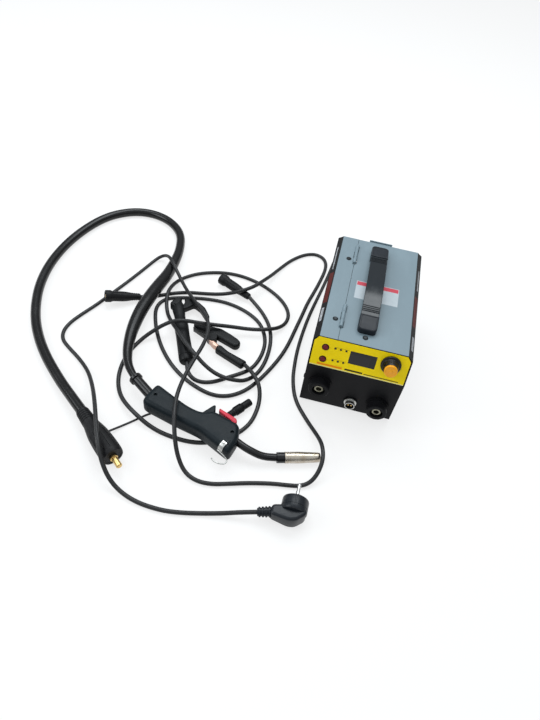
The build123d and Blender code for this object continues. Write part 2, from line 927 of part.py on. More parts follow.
# Rear panel with a slotted fan grille, the switch opening and the gland hole
rear_view = Plane(origin=(0, rear_y, 0), x_dir=(-1, 0, 0), z_dir=(0, 1, 0))
rear_top = plate_under - 2 * panel_gap
with BuildPart() as rear_panel:
    with BuildSketch(rear_view):
        with BuildLine():
            Polyline(
                (-half_width, foot_height),
                (half_width, foot_height),
                (half_width, case_top - corner_drop),
                (top_half, rear_top),
                (-top_half, rear_top),
                (-half_width, case_top - corner_drop),
                close=True,
            )
        make_face()
        with Locations((-fan_x, fan_height)):
            with GridLocations(1, grille_pitch, 1, grille_slots):
                SlotOverall(
                    2 * fan_bore - grille_slot_height, grille_slot_height, mode=Mode.SUBTRACT
                )
        with Locations((-switch_place[0], switch_place[1])):
            Rectangle(
                switch_body_size[0] + 2 * panel_gap,
                switch_body_size[1] + 2 * panel_gap,
                mode=Mode.SUBTRACT,
            )
        with Locations((-gland_place[0], gland_place[1])):
            Circle(gland_thread_radius + panel_gap, mode=Mode.SUBTRACT)
    extrude(amount=rear_thickness)
rear_panel.part.label = "rear_panel"
export_step(rear_panel.part, "parts/rear_panel.step")

# Cooling fan behind the grille
fan_seat = Plane(origin=(fan_x, rear_y, fan_height), x_dir=(1, 0, 0), z_dir=(0, -1, 0))
with BuildPart() as fan_frame:
    with BuildSketch(fan_seat):
        RectangleRounded(fan_size, fan_size, 4)
        Circle(fan_bore, mode=Mode.SUBTRACT)
    extrude(amount=fan_depth)
    with BuildSketch(fan_seat.offset(fan_depth - fan_spider)):
        Circle(fan_hub_radius)
        with PolarLocations(fan_bore / 2, 3):
            Rectangle(fan_bore + 2, 4)
    extrude(amount=fan_spider)
    with BuildSketch(fan_seat.offset(fan_spider)):
        Circle(fan_pin_radius)
    extrude(amount=fan_depth - 2 * fan_spider)
fan_frame.part.label = "fan_frame"
export_step(fan_frame.part, "parts/fan_frame.step")

rotor_depth = fan_depth - 2 * fan_spider - 2 * knob_clearance
blade_length = fan_blade_reach - fan_hub_radius + 1
with BuildPart() as fan_rotor:
    rod(fan_seat.offset(fan_spider + knob_clearance), fan_hub_radius, rotor_depth)
    middle = fan_seat.offset(fan_spider + knob_clearance + rotor_depth / 2)
    with Locations(middle):
        with PolarLocations(0, fan_blades):
            with Locations(Location((fan_hub_radius - 1, 0, 0), (fan_pitch, 0, 0))):
                Box(
                    blade_length,
                    fan_blade_width,
                    fan_blade_thickness,
                    align=(Align.MIN, Align.CENTER, Align.CENTER),
                )
    rod(
        fan_seat,
        fan_pin_radius + running_gap,
        fan_depth,
        mode=Mode.SUBTRACT,
    )
fan_rotor.part.label = "fan_rotor"
export_step(fan_rotor.part, "parts/fan_rotor.step")

# Power switch: housing clipped into the rear panel, and its rocker on a short pivot
switch_seat = Plane(
    origin=(switch_place[0], rear_y + rear_thickness, switch_place[1]),
    x_dir=(-1, 0, 0),
    z_dir=(0, 1, 0),
)
recess_width = rocker_width + 2 * button_gap
recess_height = rocker_height + 2 * rocker_room
rocker_axis = switch_seat.offset(switch_proud - rocker_room)
with BuildPart() as switch_body:
    with BuildSketch(switch_seat):
        RectangleRounded(switch_flange[0], switch_flange[1], 2)
    extrude(amount=switch_proud)
    with BuildSketch(switch_seat):
        Rectangle(*switch_body_size)
    extrude(amount=-switch_depth)
    with BuildSketch(switch_seat.offset(switch_proud)):
        Rectangle(recess_width, recess_height)
    extrude(amount=-(switch_proud + 6), mode=Mode.SUBTRACT)
    pivot_line = Plane(
        origin=rocker_axis.from_local_coords((-recess_width / 2 - 2, 0, 0)), z_dir=(-1, 0, 0)
    )
    rod(pivot_line, rocker_pin_radius + running_gap, recess_width + 4, mode=Mode.SUBTRACT)
switch_body.part.label = "switch_body"
export_step(switch_body.part, "parts/switch_body.step")

rocker_tilt = math.radians(rocker_throw / 2)
rocker_side = Plane(
    origin=rocker_axis.from_local_coords((-rocker_width / 2, 0, 0)),
    x_dir=(0, math.sin(rocker_tilt), math.cos(rocker_tilt)),
    z_dir=(-1, 0, 0),
)
with BuildPart() as power_rocker:
    half_rocker = rocker_height / 2
    prism(
        rocker_side,
        [(-half_rocker, 3.4), (0, 2.2), (half_rocker, 3.4), (half_rocker, -2.4), (-half_rocker, -2.4)],
        rocker_width,
    )
    rod(pivot_line, rocker_pin_radius, recess_width + 4)
power_rocker.part.label = "power_rocker"
export_step(power_rocker.part, "parts/power_rocker.step")

# Cable gland with a tapered sleeve
gland_start = (gland_place[0], rear_y + rear_thickness, gland_place[1])
gland_profile = [
    (0, -2 * rear_thickness),
    (gland_thread_radius, -2 * rear_thickness),
    (gland_thread_radius, 0),
    (gland_flange_radius, 0),
    (gland_flange_radius, 4),
    (gland_flange_radius - 2, 6),
    (mains_diameter / 2 + 1.2, gland_length),
    (0, gland_length),
]
with BuildPart() as mains_gland:
    turn(Plane(origin=gland_start, z_dir=(0, 1, 0)), gland_profile)
mains_gland.part.label = "mains_gland"
export_step(mains_gland.part, "parts/mains_gland.step")

# Divider between electronics and wire bay, with the spool hub on it
divider_length = case_length - divider_front_gap - divider_rear_gap
spool_left = divider_x + 2 * sheet + spool_rim
spool_right = spool_left + spool_width
spool_axis = Plane(origin=(divider_x, spool_y, spool_height), z_dir=(1, 0, 0))
with BuildPart() as divider_plate:
    with Locations((divider_x, front_y + divider_front_gap, tray_top)):
        Box(
            sheet,
            divider_length,
            divider_top - tray_top,
            align=(Align.CENTER, Align.MIN, Align.MIN),
        )
    hub_reach = spool_right - divider_x + spool_side_gap
    rod(spool_axis, hub_radius, hub_reach)
    rod(spool_axis.offset(hub_reach), hub_nut_radius, hub_nut_height)
    rod(spool_axis, hub_nut_radius, spool_left - divider_x - spool_side_gap)
divider_plate.part.label = "divider_plate"
export_step(divider_plate.part, "parts/divider_plate.step")

spool_base = spool_axis.offset(spool_left - divider_x)
spool_bore = hub_radius + running_gap
spool_profile = [
    (spool_bore, 0),
    (spool_radius, 0),
    (spool_radius, spool_rim),
    (spool_core_radius, spool_rim),
    (spool_core_radius, spool_width - spool_rim),
    (spool_radius, spool_width - spool_rim),
    (spool_radius, spool_width),
    (spool_bore, spool_width),
]
with BuildPart() as wire_spool:
    turn(spool_base, spool_profile)
    winding_start = spool_rim + running_gap
    winding_end = spool_width - spool_rim - running_gap
    winding = [
        (spool_core_radius + running_gap, winding_start),
        (spool_fill_radius, winding_start),
        (spool_fill_radius, winding_end),
        (spool_core_radius + running_gap, winding_end),
    ]
    turn(spool_base, winding)
wire_spool.part.label = "wire_spool"
export_step(wire_spool.part, "parts/wire_spool.step")

# Wire drive: side plate with guide blocks, motor, grooved roller and sprung pressure roller
wire_x, wire_z = wire_line
plate_right = wire_x - drive_width / 2 - feeder_plate_gap
plate_left = plate_right - feeder_plate
drive_z = wire_z - drive_radius
pressure_z = wire_z + wire_gap + pressure_radius
drive_axis = Plane(origin=(plate_left, drive_y, drive_z), z_dir=(1, 0, 0))
arm_axis = Plane(origin=(plate_right, *arm_pivot), z_dir=(1, 0, 0))
roller_right = wire_x + drive_width / 2
arm_left = roller_right + feeder_plate_gap
guide_front = drive_y - drive_radius - 14
guide_rear = drive_y + drive_radius + 14
plate_view = Plane(origin=(plate_left, 0, 0), x_dir=(0, 1, 0), z_dir=(1, 0, 0))
with BuildPart() as feeder_body:
    plate_points = [
        (guide_front, tray_top),
        (guide_rear, tray_top),
        (guide_rear, arm_pivot[1] + 8),
        (arm_pivot[0] - 10, arm_pivot[1] + 8),
        (guide_front, wire_z + 8),
    ]
    prism(plate_view, plate_points, feeder_plate)
    rod(drive_axis, shaft_radius + running_gap, feeder_plate, mode=Mode.SUBTRACT)
    rod(arm_axis, arm_pin_radius, arm_left + arm_thickness - plate_right)
    for block in (guide_front, guide_rear - guide_block):
        with Locations((plate_right, block, wire_z)):
            Box(
                wire_x - plate_right + guide_radius + guide_wall,
                guide_block,
                guide_block,
                align=(Align.MIN, Align.MIN, Align.CENTER),
            )
    guide_line = Plane(origin=(wire_x, guide_rear, wire_z), z_dir=(0, -1, 0))
    outlet_line = guide_line.offset(guide_rear - guide_front - guide_block)
    outlet = guide_front + guide_block - (front_y + insert_tail)
    for line, length in ((guide_line, guide_block), (outlet_line, outlet)):
        rod(line, guide_radius, length)
        rod(line, guide_bore, length, mode=Mode.SUBTRACT)
feeder_body.part.label = "feeder_body"
export_step(feeder_body.part, "parts/feeder_body.step")

with BuildPart() as feed_motor:
    rod(drive_axis, motor_radius, -motor_length)
    rod(drive_axis, shaft_radius + running_gap, -motor_length / 2, mode=Mode.SUBTRACT)
    rod(drive_axis.offset(-motor_length), 0.5 * motor_radius, -2)
feed_motor.part.label = "feed_motor"
export_step(feed_motor.part, "parts/feed_motor.step")

roller_base = roller_right - drive_width - plate_left
drive_profile = [
    (0, -motor_length / 3),
    (shaft_radius, -motor_length / 3),
    (shaft_radius, roller_base),
    (drive_radius, roller_base),
    (drive_radius, roller_base + 0.45 * drive_width),
    (drive_radius - 0.5, roller_base + 0.5 * drive_width),
    (drive_radius, roller_base + 0.55 * drive_width),
    (drive_radius, roller_base + drive_width),
    (0, roller_base + drive_width),
]
with BuildPart() as drive_roller:
    turn(drive_axis, drive_profile)
drive_roller.part.label = "drive_roller"
export_step(drive_roller.part, "parts/drive_roller.step")

arm_view = Plane(origin=(arm_left, 0, 0), x_dir=(0, 1, 0), z_dir=(1, 0, 0))
pressure_axis = Plane(origin=(wire_x, drive_y, pressure_z), z_dir=(1, 0, 0))
axle_radius = shaft_radius - 0.5
with BuildPart() as pressure_arm:
    arm_points = [
        (arm_pivot[0] + 7, arm_pivot[1] - arm_half_height),
        (arm_pivot[0] + 7, arm_pivot[1] + arm_half_height),
        (arm_front_y, arm_pivot[1] + arm_half_height),
        (arm_front_y, arm_pivot[1] - arm_half_height),
    ]
    prism(arm_view, arm_points, arm_thickness)
    rod(arm_axis, arm_pin_radius + running_gap, 2 * case_width, mode=Mode.SUBTRACT)
    rod(
        pressure_axis.offset(-pressure_width / 2),
        axle_radius,
        arm_left - wire_x + pressure_width / 2,
    )
    with Locations((arm_left + arm_thickness, arm_front_y, arm_pivot[1] - arm_half_height)):
        Cylinder(
            tension_radius,
            tension_height,
            align=(Align.CENTER, Align.CENTER, Align.MIN),
        )
pressure_arm.part.label = "pressure_arm"
export_step(pressure_arm.part, "parts/pressure_arm.step")

with BuildPart() as pressure_roller:
    rod(pressure_axis.offset(-pressure_width / 2), pressure_radius, pressure_width)
    rod(
        pressure_axis.offset(-pressure_width / 2),
        axle_radius + running_gap,
        pressure_width,
        mode=Mode.SUBTRACT,
    )
pressure_roller.part.label = "pressure_roller"
export_step(pressure_roller.part, "parts/pressure_roller.step")

# Power electronics left of the divider
bay_middle = (divider_x - sheet / 2 - half_width + sheet) / 2
with BuildPart() as heatsink:
    with Locations((bay_middle, sink_y, tray_top)):
        Box(sink_box[0], sink_box[1], sink_base, align=(Align.CENTER, Align.CENTER, Align.MIN))
    fin_pitch = (sink_box[0] - sink_fin) / (sink_fins - 1)
    with Locations((bay_middle, sink_y, tray_top + sink_base)):
        with GridLocations(fin_pitch, 1, sink_fins, 1):
            Box(
                sink_fin,
                sink_box[1],
                sink_box[2] - sink_base,
                align=(Align.CENTER, Align.CENTER, Align.MIN),
            )
heatsink.part.label = "heatsink"
export_step(heatsink.part, "parts/heatsink.step")

post_x = board_box[0] - 2 * board_post_radius
post_y = board_box[1] - 2 * board_post_radius
with BuildPart() as power_board:
    with Locations((bay_middle, power_board_y, power_board_height)):
        Box(*board_box, board_thickness, align=(Align.CENTER, Align.CENTER, Align.MIN))
    with Locations((bay_middle, power_board_y, tray_top)):
        with GridLocations(post_x, post_y, 2, 2):
            Cylinder(
                board_post_radius,
                power_board_height - tray_top,
                align=(Align.CENTER, Align.CENTER, Align.MIN),
            )
    board_face = power_board_height + board_thickness
    with Locations((bay_middle, power_board_y + transformer_shift, board_face)):
        Box(*transformer_box, align=(Align.CENTER, Align.CENTER, Align.MIN))
    with Locations((bay_middle, power_board_y + capacitor_shift, board_face)):
        with GridLocations(capacitor_pitch, 1, 2, 1):
            Cylinder(
                capacitor_radius,
                capacitor_height,
                align=(Align.CENTER, Align.CENTER, Align.MIN),
            )
    with Locations((bay_middle, power_board_y + block_shift, board_face)):
        with GridLocations(*block_pitch, 2, 2):
            Box(*block_box, align=(Align.CENTER, Align.CENTER, Align.MIN))
power_board.part.label = "power_board"
export_step(power_board.part, "parts/power_board.step")

# Routes on the floor: (x, y, height of the underside), chosen point by point
mains_route = [
    (-38, 150, 25), (-36, 166, 22), (-28, 183, 13), (-18, 201, 4), (-8, 221, 0), (-5, 243, 0),
    (-13, 262, 0), (-29, 273, 0), (-49, 273, 0), (-65, 262, 0), (-74, 243, 0), (-76, 215, 0),
    (-80, 176, 0), (-85, 136, 0), (-90, 100, 0), (-95, 58, 0), (-98, 14, 0),
    (-99, -30, 0), (-97, -68, 0), (-93, -104, 0), (-81, -144, 0), (-55, -178, 0), (-35, -206, 8),
    (-24, -228, 18), (-18, -251, 18), (-20, -272, 11), (-28, -288, 3), (-41, -297, 0),
    (-59, -301, 0), (-84, -305, 0), (-117, -314, 0), (-143, -323, 0), (-167, -331, 0),
    (-190, -332, 0), (-210, -324, 2), (-225, -309, 14), (-236, -290, 30), (-246, -263, 41),
    (-253, -239, 42), (-257, -212, 41), (-258, -176, 37), (-255, -140, 36), (-251, -106, 35),
    (-252, -74, 33), (-260, -46, 34), (-279, -20, 28), (-304, 8, 22), (-331, 42, 13),
    (-354, 71, 15), (-370, 89, 22), (-384, 107, 22), (-395, 120, 15), (-405, 126, 8),
    (-414, 123, 3), (-420, 112, 1), (-427, 92, 0), (-437, 60, 0), (-448, 28, 0), (-460, -5, 0),
    (-472, -39, 0), (-486, -70, 0), (-496, -96, 0), (-498, -119, 0), (-490, -138, 0),
    (-471, -152, 0), (-446, -168, 0), (-419, -191, 4), (-394, -225, 17), (-371, -263, 32),
    (-351, -301, 38), (-335, -331, 38), (-322, -352, 27), (-307, -367, 12), (-287, -378, 2),
    (-258, -387, 0), (-222, -389, 0), (-195, -385, 0), (-167, -378, 0), (-138, -371, 3),
    (-114, -365, 8), (-93, -360, 10.75),
]
hose_route = [
    (-336, -193, 13), (-354, -176, 12), (-369, -147, 10.5), (-379, -111, 10.5), (-384, -76, 10.5),
    (-386, -40, 10.5), (-384, -2, 10.5), (-381, 36, 8), (-378, 70, 3), (-378, 108, 0),
    (-382, 158, 0), (-398, 211, 0), (-436, 246, 0), (-484, 257, 0), (-528, 243, 0),
    (-568, 202, 0), (-594, 123, 0), (-600, 44, 0), (-589, -26, 0), (-566, -86, 0),
    (-539, -133, 0), (-501, -179, 0), (-453, -223, 2), (-416, -253, 6), (-388, -275, 8.5),
]
electrode_route = [
    (-405, 1, 4.5), (-391, 9, 2), (-374, 21, 0), (-352, 36, 0), (-328, 47, 0), (-297, 54, 0),
    (-268, 59, 3), (-245, 62, 11), (-224, 70, 18), (-208, 88, 18), (-198, 111, 15),
    (-188, 141, 7), (-176, 178, 1), (-161, 211, 0), (-140, 238, 0), (-119, 250, 0),
    (-101, 246, 0), (-90, 231, 0), (-87, 207, 0), (-91, 170, 0), (-97, 132, 0), (-104, 95, 0),
    (-108, 55, 0), (-113, 12, 0), (-117, -24, 0), (-123, -54, 0), (-131, -80, 0),
    (-140, -104, 0), (-151, -129, 0), (-166, -153, 0), (-188, -171, 0), (-215, -176, 0),
    (-248, -166, 0), (-277, -150, 0), (-303, -129, 0), (-328, -100, 0), (-348, -68, 0),
    (-361, -40, 0), (-369, -16, 0), (-368, 3, 0), (-359, 17, 0), (-342, 26, 0), (-318, 34, 0),
    (-290, 41, 0), (-260, 44, 0), (-236, 41, 0), (-214, 34, 0), (-195, 24, 0), (-179, 11, 0),
    (-167, -7, 0), (-158, -31, 0), (-156, -56, 0), (-159, -81, 0), (-167, -103, 0),
    (-182, -118, 0), (-197, -130, 0), (-209, -141, 0), (-222, -150, 0), (-236, -155, 0),
    (-250, -155, 1.5), (-261, -149, 4.5), (-268, -139, 6.5), (-272, -127, 7.5),
]
earth_route = [
    (-214, 67, 6), (-197, 55, 2), (-179, 38, 0), (-161, 12, 0), (-150, -19, 0), (-146, -54, 0),
    (-148, -88, 0), (-156, -114, 0), (-170, -131, 1), (-186, -140, 7), (-203, -143, 11),
    (-223, -139, 13), (-243, -131, 19), (-261, -120, 25.5), (-283, -102, 26), (-305, -77, 24),
    (-326, -49, 10), (-344, -22, 0), (-353, -3, 4), (-358, 14, 10.5), (-360, 34, 10.5),
    (-358, 60, 5), (-348, 86, 0), (-324, 108, 0), (-286, 125, 0), (-248, 129, 0), (-211, 121, 0),
    (-182, 107, 0), (-158, 90, 0), (-140, 69, 0), (-131, 47, 0), (-133, 25, 0), (-143, 6, 4),
    (-156, -8, 10.5), (-174, -16, 10.5), (-197, -20, 9), (-222, -28, 14), (-249, -39, 20),
    (-274, -48, 25), (-298, -56, 31), (-318, -62, 30), (-337, -69, 18), (-349, -79, 11),
    (-361, -92, 4), (-369, -108, 0), (-374, -128, 0), (-375, -153, 0), (-371, -180, 0),
    (-362, -204, 0), (-347, -226, 3), (-327, -243, 7), (-307, -255, 7), (-289, -262, 2),
    (-268, -268, 0), (-247, -271, 0), (-228, -272, 0), (-209, -270, 0), (-191, -264, 0),
    (-174, -254, 0), (-159, -241, 0), (-147, -226, 0), (-139, -208, 0), (-136, -187, 0),
    (-136, -168, 1), (-139, -152, 6), (-145, -138, 11), (-155, -125, 11.5), (-166, -113, 10.5),
    (-178.5, -102, 7.5),
]
trigger_route = [
    (-343, -297, 8), (-336, -285, 3), (-325, -271, 0), (-311, -256, 0), (-297, -240, 0),
    (-279, -228, 0), (-256, -225, 0), (-231, -231, 0), (-209, -237, 0), (-193, -233, 0),
    (-184, -223, 2.5), (-177, -212, 5.75),
]
mains_points = laid(mains_route, mains_diameter)
hose_points = laid(hose_route, hose_diameter)
electrode_points = laid(electrode_route, lead_diameter)
earth_points = laid(earth_route, lead_diameter)
trigger_points = laid(trigger_route, trigger_lead_diameter)
mains_points[0] = (gland_place[0], rear_y + rear_thickness + gland_length, gland_place[1])

with BuildPart() as mains_lead:
    tube("mains_lead", mains_points, mains_diameter)
mains_lead.part.label = "mains_lead"
export_step(mains_lead.part, "parts/mains_lead.step")

with BuildPart() as torch_hose:
    tube("torch_hose", hose_points, hose_diameter)
torch_hose.part.label = "torch_hose"
export_step(torch_hose.part, "parts/torch_hose.step")

with BuildPart() as electrode_lead:
    tube("electrode_lead", electrode_points, lead_diameter)
electrode_lead.part.label = "electrode_lead"
export_step(electrode_lead.part, "parts/electrode_lead.step")

with BuildPart() as earth_lead:
    tube("earth_lead", earth_points, lead_diameter)
earth_lead.part.label = "earth_lead"
export_step(earth_lead.part, "parts/earth_lead.step")

with BuildPart() as trigger_lead:
    tube("trigger_lead", trigger_points, trigger_lead_diameter)
trigger_lead.part.label = "trigger_lead"
export_step(trigger_lead.part, "parts/trigger_lead.step")

# Torch handle: two shells that meet at mid thickness, round the trigger, neck and strain relief
torch_outline = [
    (-306, -236), (-295, -201), (-262, -217), (-235, -229), (-213, -234), (-198, -214),
    (-194, -224), (-151, -239), (-146, -264), (-153, -294), (-205, -268), (-250, -258),
    (-301, -244),
]
torch_middle = torch_bottom + torch_thickness / 2
torch_depth = torch_thickness / 2
neck_points = [
    (-164, -255, torch_middle),
    (-134, -269, torch_middle - 1),
    (-107, -271, torch_middle - 9),
    (-84, -264, torch_middle - 12),
]
nozzle_end = (-24, -244.5, torch_middle - 13.5)
relief_start = (-299, -220, torch_middle)
relief_end = hose_points[0]


def joint_face(step):
    """The plane where the handle's shells meet, facing up or down."""
    return Plane(origin=(0, 0, torch_middle), x_dir=(1, 0, 0), z_dir=(0, 0, step))


def torch_block(step):
    """The outside of one half of the handle, with its outer edge eased."""
    points = [(x, step * y) for x, y in torch_outline]
    prism(joint_face(step), points, torch_depth - torch_edge)
    with BuildSketch(joint_face(step).offset(torch_depth - torch_edge)) as shoulder:
        with BuildLine():
            Polyline(*points, close=True)
        make_face()
    with BuildSketch(joint_face(step).offset(torch_depth)) as crown:
        with BuildLine():
            Polyline(*points, close=True)
        make_face()
        offset(amount=-torch_edge, kind=Kind.INTERSECTION, mode=Mode.REPLACE)
    loft([shoulder.sketch.faces()[0], crown.sketch.faces()[0]], ruled=True)


def torch_hollow(step):
    """The inside of one half, with the ways for neck, strain relief and trigger."""
    with BuildSketch(joint_face(step)) as hollow:
        with BuildLine():
            Polyline(*[(x, step * y) for x, y in torch_outline], close=True)
        make_face()
        offset(amount=-torch_wall, kind=Kind.INTERSECTION, mode=Mode.REPLACE)
    extrude(hollow.sketch.faces(), amount=torch_depth - torch_wall, mode=Mode.SUBTRACT)
    neck_way = axis_plane(neck_points[0], neck_points[1])
    rod(neck_way, neck_radius + running_gap, span(neck_points[0], neck_points[1]), mode=Mode.SUBTRACT)
    relief_way = axis_plane(relief_start, relief_end)
    rod(relief_way, relief_radius + running_gap, span(relief_start, relief_end), mode=Mode.SUBTRACT)
    with Locations((*trigger_pivot, torch_middle)):
        Box(
            trigger_slot,
            trigger_slot,
            trigger_thickness + 2 * button_gap,
            rotation=(0, 0, trigger_lean),
            mode=Mode.SUBTRACT,
        )


with BuildPart() as torch_shell_lower:
    torch_block(-1)
    torch_hollow(-1)
    with Locations((*trigger_pivot, torch_bottom + torch_wall)):
        Cylinder(
            trigger_pin_radius,
            torch_depth - torch_wall + trigger_thickness / 2,
            align=(Align.CENTER, Align.CENTER, Align.MIN),
        )
torch_shell_lower.part.label = "torch_shell_lower"
export_step(torch_shell_lower.part, "parts/torch_shell_lower.step")

with BuildPart() as torch_shell_upper:
    torch_block(1)
    torch_hollow(1)
torch_shell_upper.part.label = "torch_shell_upper"
export_step(torch_shell_upper.part, "parts/torch_shell_upper.step")

# Trigger blade over the front edge of the handle, turning on a pin between the shells
trigger_low = Plane(origin=(0, 0, torch_middle - trigger_thickness / 2))
with BuildPart() as torch_trigger:
    blade = [(-190, -213.5), (-160, -225), (-157, -231), (-160, -234), (-189.5, -219.5)]
    prism(trigger_low, blade, trigger_thickness, corner=1.0)
    with Locations((*trigger_pivot, torch_middle)):
        Cylinder(trigger_pin_radius + 2.5, trigger_thickness)
    ear = [(-165.5, -238), (-165, -228), (-159.5, -230), (-160.5, -239)]
    prism(trigger_low, ear, trigger_thickness)
    with Locations((*trigger_pivot, torch_middle)):
        Cylinder(trigger_pin_radius + running_gap, 2 * trigger_thickness, mode=Mode.SUBTRACT)
torch_trigger.part.label = "torch_trigger"
export_step(torch_trigger.part, "parts/torch_trigger.step")

# Swan neck with its insulating collar and contact tip, and the gas nozzle
nozzle_axis = axis_plane(neck_points[-1], nozzle_end)
with BuildPart() as torch_neck:
    with BuildLine() as neck_path:
        FilletPolyline(*neck_points, radius=bend_radii(neck_points))
    with BuildSketch(axis_plane(neck_points[0], neck_points[1])):
        Circle(neck_radius)
    sweep(path=neck_path.wires()[0])
    collar_points = [
        (0, -2),
        (collar_radius, -2),
        (collar_radius, collar_length - 3),
        (nozzle_radius - nozzle_wall - running_gap, collar_length - 3),
        (nozzle_radius - nozzle_wall - running_gap, collar_length + 6),
        (3.5, collar_length + 10),
        (3.5, collar_length + nozzle_length - 8),
        (0, collar_length + nozzle_length - 8),
    ]
    turn(nozzle_axis, collar_points)
torch_neck.part.label = "torch_neck"
export_step(torch_neck.part, "parts/torch_neck.step")

nozzle_base = collar_length - 3 + running_gap
nozzle_profile = [
    (nozzle_radius - nozzle_wall, nozzle_base),
    (nozzle_radius, nozzle_base),
    (nozzle_radius, nozzle_base + 0.45 * nozzle_length),
    (nozzle_tip_radius, nozzle_base + nozzle_length),
    (nozzle_tip_radius - nozzle_wall, nozzle_base + nozzle_length),
    (nozzle_radius - nozzle_wall, nozzle_base + 0.45 * nozzle_length),
]
with BuildPart() as torch_nozzle:
    turn(nozzle_axis, nozzle_profile)
torch_nozzle.part.label = "torch_nozzle"
export_step(torch_nozzle.part, "parts/torch_nozzle.step")

# Hanging hook: a small plate on the handle with a bent wire
hook_top = torch_bottom + torch_thickness
with BuildPart() as torch_hook:
    plate = [(-178, -271), (-166, -275), (-170, -285), (-181, -279)]
    prism(Plane(origin=(0, 0, hook_top)), plate, hook_plate)
    hook_points = [
        (-172, -280, hook_top + hook_plate + 0.6 * hook_wire),
        (-168, -292, hook_top + hook_plate + 0.6 * hook_wire),
        (-162, -302, hook_top - 6),
        (-172, -310, hook_top - 12),
        (-188, -308, hook_top - 14),
    ]
    with BuildLine() as hook_path:
        FilletPolyline(*hook_points, radius=3)
    with BuildSketch(axis_plane(hook_points[0], hook_points[1])):
        Circle(hook_wire)
    sweep(path=hook_path.wires()[0])
    with Locations((-172.3, -279, hook_top)):
        Cylinder(
            2.5 * hook_wire,
            hook_plate + 2.4 * hook_wire,
            align=(Align.CENTER, Align.CENTER, Align.MIN),
        )
torch_hook.part.label = "torch_hook"
export_step(torch_hook.part, "parts/torch_hook.step")

relief_length = span(relief_start, relief_end)
with BuildPart() as torch_strain_relief:
    turn(
        axis_plane(relief_start, relief_end),
        [
            (0, 0),
            (relief_radius, 0),
            (relief_radius, relief_length - 6),
            (relief_flange_radius, relief_length - 5),
            (relief_flange_radius, relief_length),
            (0, relief_length),
        ],
    )
torch_strain_relief.part.label = "torch_strain_relief"
export_step(torch_strain_relief.part, "parts/torch_strain_relief.step")

# Welding plugs: rubber boots, and their brass pins in one group
torch_plug_rear = hose_points[-1]
torch_plug_front = (-312, -336, hose_points[-1][2])
torch_plug_length = span(torch_plug_rear, torch_plug_front)
torch_plug_axis = axis_plane(torch_plug_rear, torch_plug_front)
with BuildPart() as torch_plug:
    turn(
        torch_plug_axis,
        [
            (0, 0),
            (boot_rear_radius - 2, 0),
            (boot_rear_radius, 4),
            (boot_rear_radius, 0.28 * torch_plug_length),
            (boot_front_radius - 2, 0.5 * torch_plug_length),
            (boot_front_radius, 0.8 * torch_plug_length),
            (boot_front_radius - 1.5, torch_plug_length),
            (0, torch_plug_length),
        ],
    )
torch_plug.part.label = "torch_plug"
export_step(torch_plug.part, "parts/torch_plug.step")


def small_plug(tail, front):
    """A slim rubber boot that widens from the lead to a collar, open at the front around its pin."""
    length = span(tail, front)
    turn(
        axis_plane(tail, front),
        [
            (0, 0),
            (small_boot_tail, 0),
            (small_boot_tail + 1, 0.25 * length),
            (small_boot_radius - small_boot_step, 0.4 * length),
            (small_boot_radius - small_boot_step, 0.8 * length),
            (small_boot_radius, 0.85 * length),
            (small_boot_radius, length - 1),
            (small_boot_radius - 1, length),
            (small_mouth_radius, length),
            (small_mouth_radius, length - small_mouth_depth),
            (0, length - small_mouth_depth),
        ],
    )


electrode_plug_tail = electrode_points[0]
electrode_plug_front = (-459, -30, 20)
earth_plug_tail = earth_points[0]
earth_plug_front = (-278, 99, 11.5)
with BuildPart() as electrode_plug:
    small_plug(electrode_plug_tail, electrode_plug_front)
electrode_plug.part.label = "electrode_plug"
export_step(electrode_plug.part, "parts/electrode_plug.step")

with BuildPart() as earth_plug:
    small_plug(earth_plug_tail, earth_plug_front)
earth_plug.part.label = "earth_plug"
export_step(earth_plug.part, "parts/earth_plug.step")

# Angled mains plug: ribbed sleeve, wedge body and round head, lying on its rim
plug_entry = mains_points[-1]
plug_entry_from = mains_points[-2]
head_middle = (-44, -340.5, schuko_radius)
head_back = Plane(
    origin=(head_middle[0], head_middle[1] - head_length / 2, head_middle[2]),
    x_dir=(1, 0, 0),
    z_dir=(0, 1, 0),
)
sleeve_end = along(plug_entry_from, plug_entry, span(plug_entry_from, plug_entry) + sleeve_length)
with BuildPart() as mains_plug:
    turn(
        axis_plane(plug_entry, sleeve_end),
        [
            (0, 0),
            (sleeve_tail_radius, 0),
            (sleeve_body_radius, sleeve_length),
            (0, sleeve_length),
        ],
    )
    with BuildSketch(axis_plane(along(plug_entry, sleeve_end, sleeve_length - 2), sleeve_end)):
        RectangleRounded(*wedge_back)
    with BuildSketch(Plane(origin=wedge_end, z_dir=(1, 0, 0))):
        RectangleRounded(*wedge_front)
    loft()
    rod(head_back, schuko_radius, head_length)
mains_plug.part.label = "mains_plug"
export_step(mains_plug.part, "parts/mains_plug.step")


def welding_pin(tail, front):
    """A brass plug pin with a waist, standing out of a boot's front face."""
    turn(
        axis_plane(front, along(tail, front, 2 * span(tail, front))),
        [
            (0, 0),
            (plug_pin_radius + 1.5, 0),
            (plug_pin_radius + 1.5, 3),
            (plug_pin_radius, 3.5),
            (plug_pin_radius, plug_pin_length - 1),
            (plug_pin_radius - 1, plug_pin_length),
            (0, plug_pin_length),
        ],
    )


with BuildPart() as plug_pins:
    welding_pin(torch_plug_rear, torch_plug_front)
    for tail, front in ((electrode_plug_tail, electrode_plug_front), (earth_plug_tail, earth_plug_front)):
        welding_pin(tail, along(tail, front, span(tail, front) - small_mouth_depth))
plug_pins.part.label = "plug_pins"
export_step(plug_pins.part, "parts/plug_pins.step")

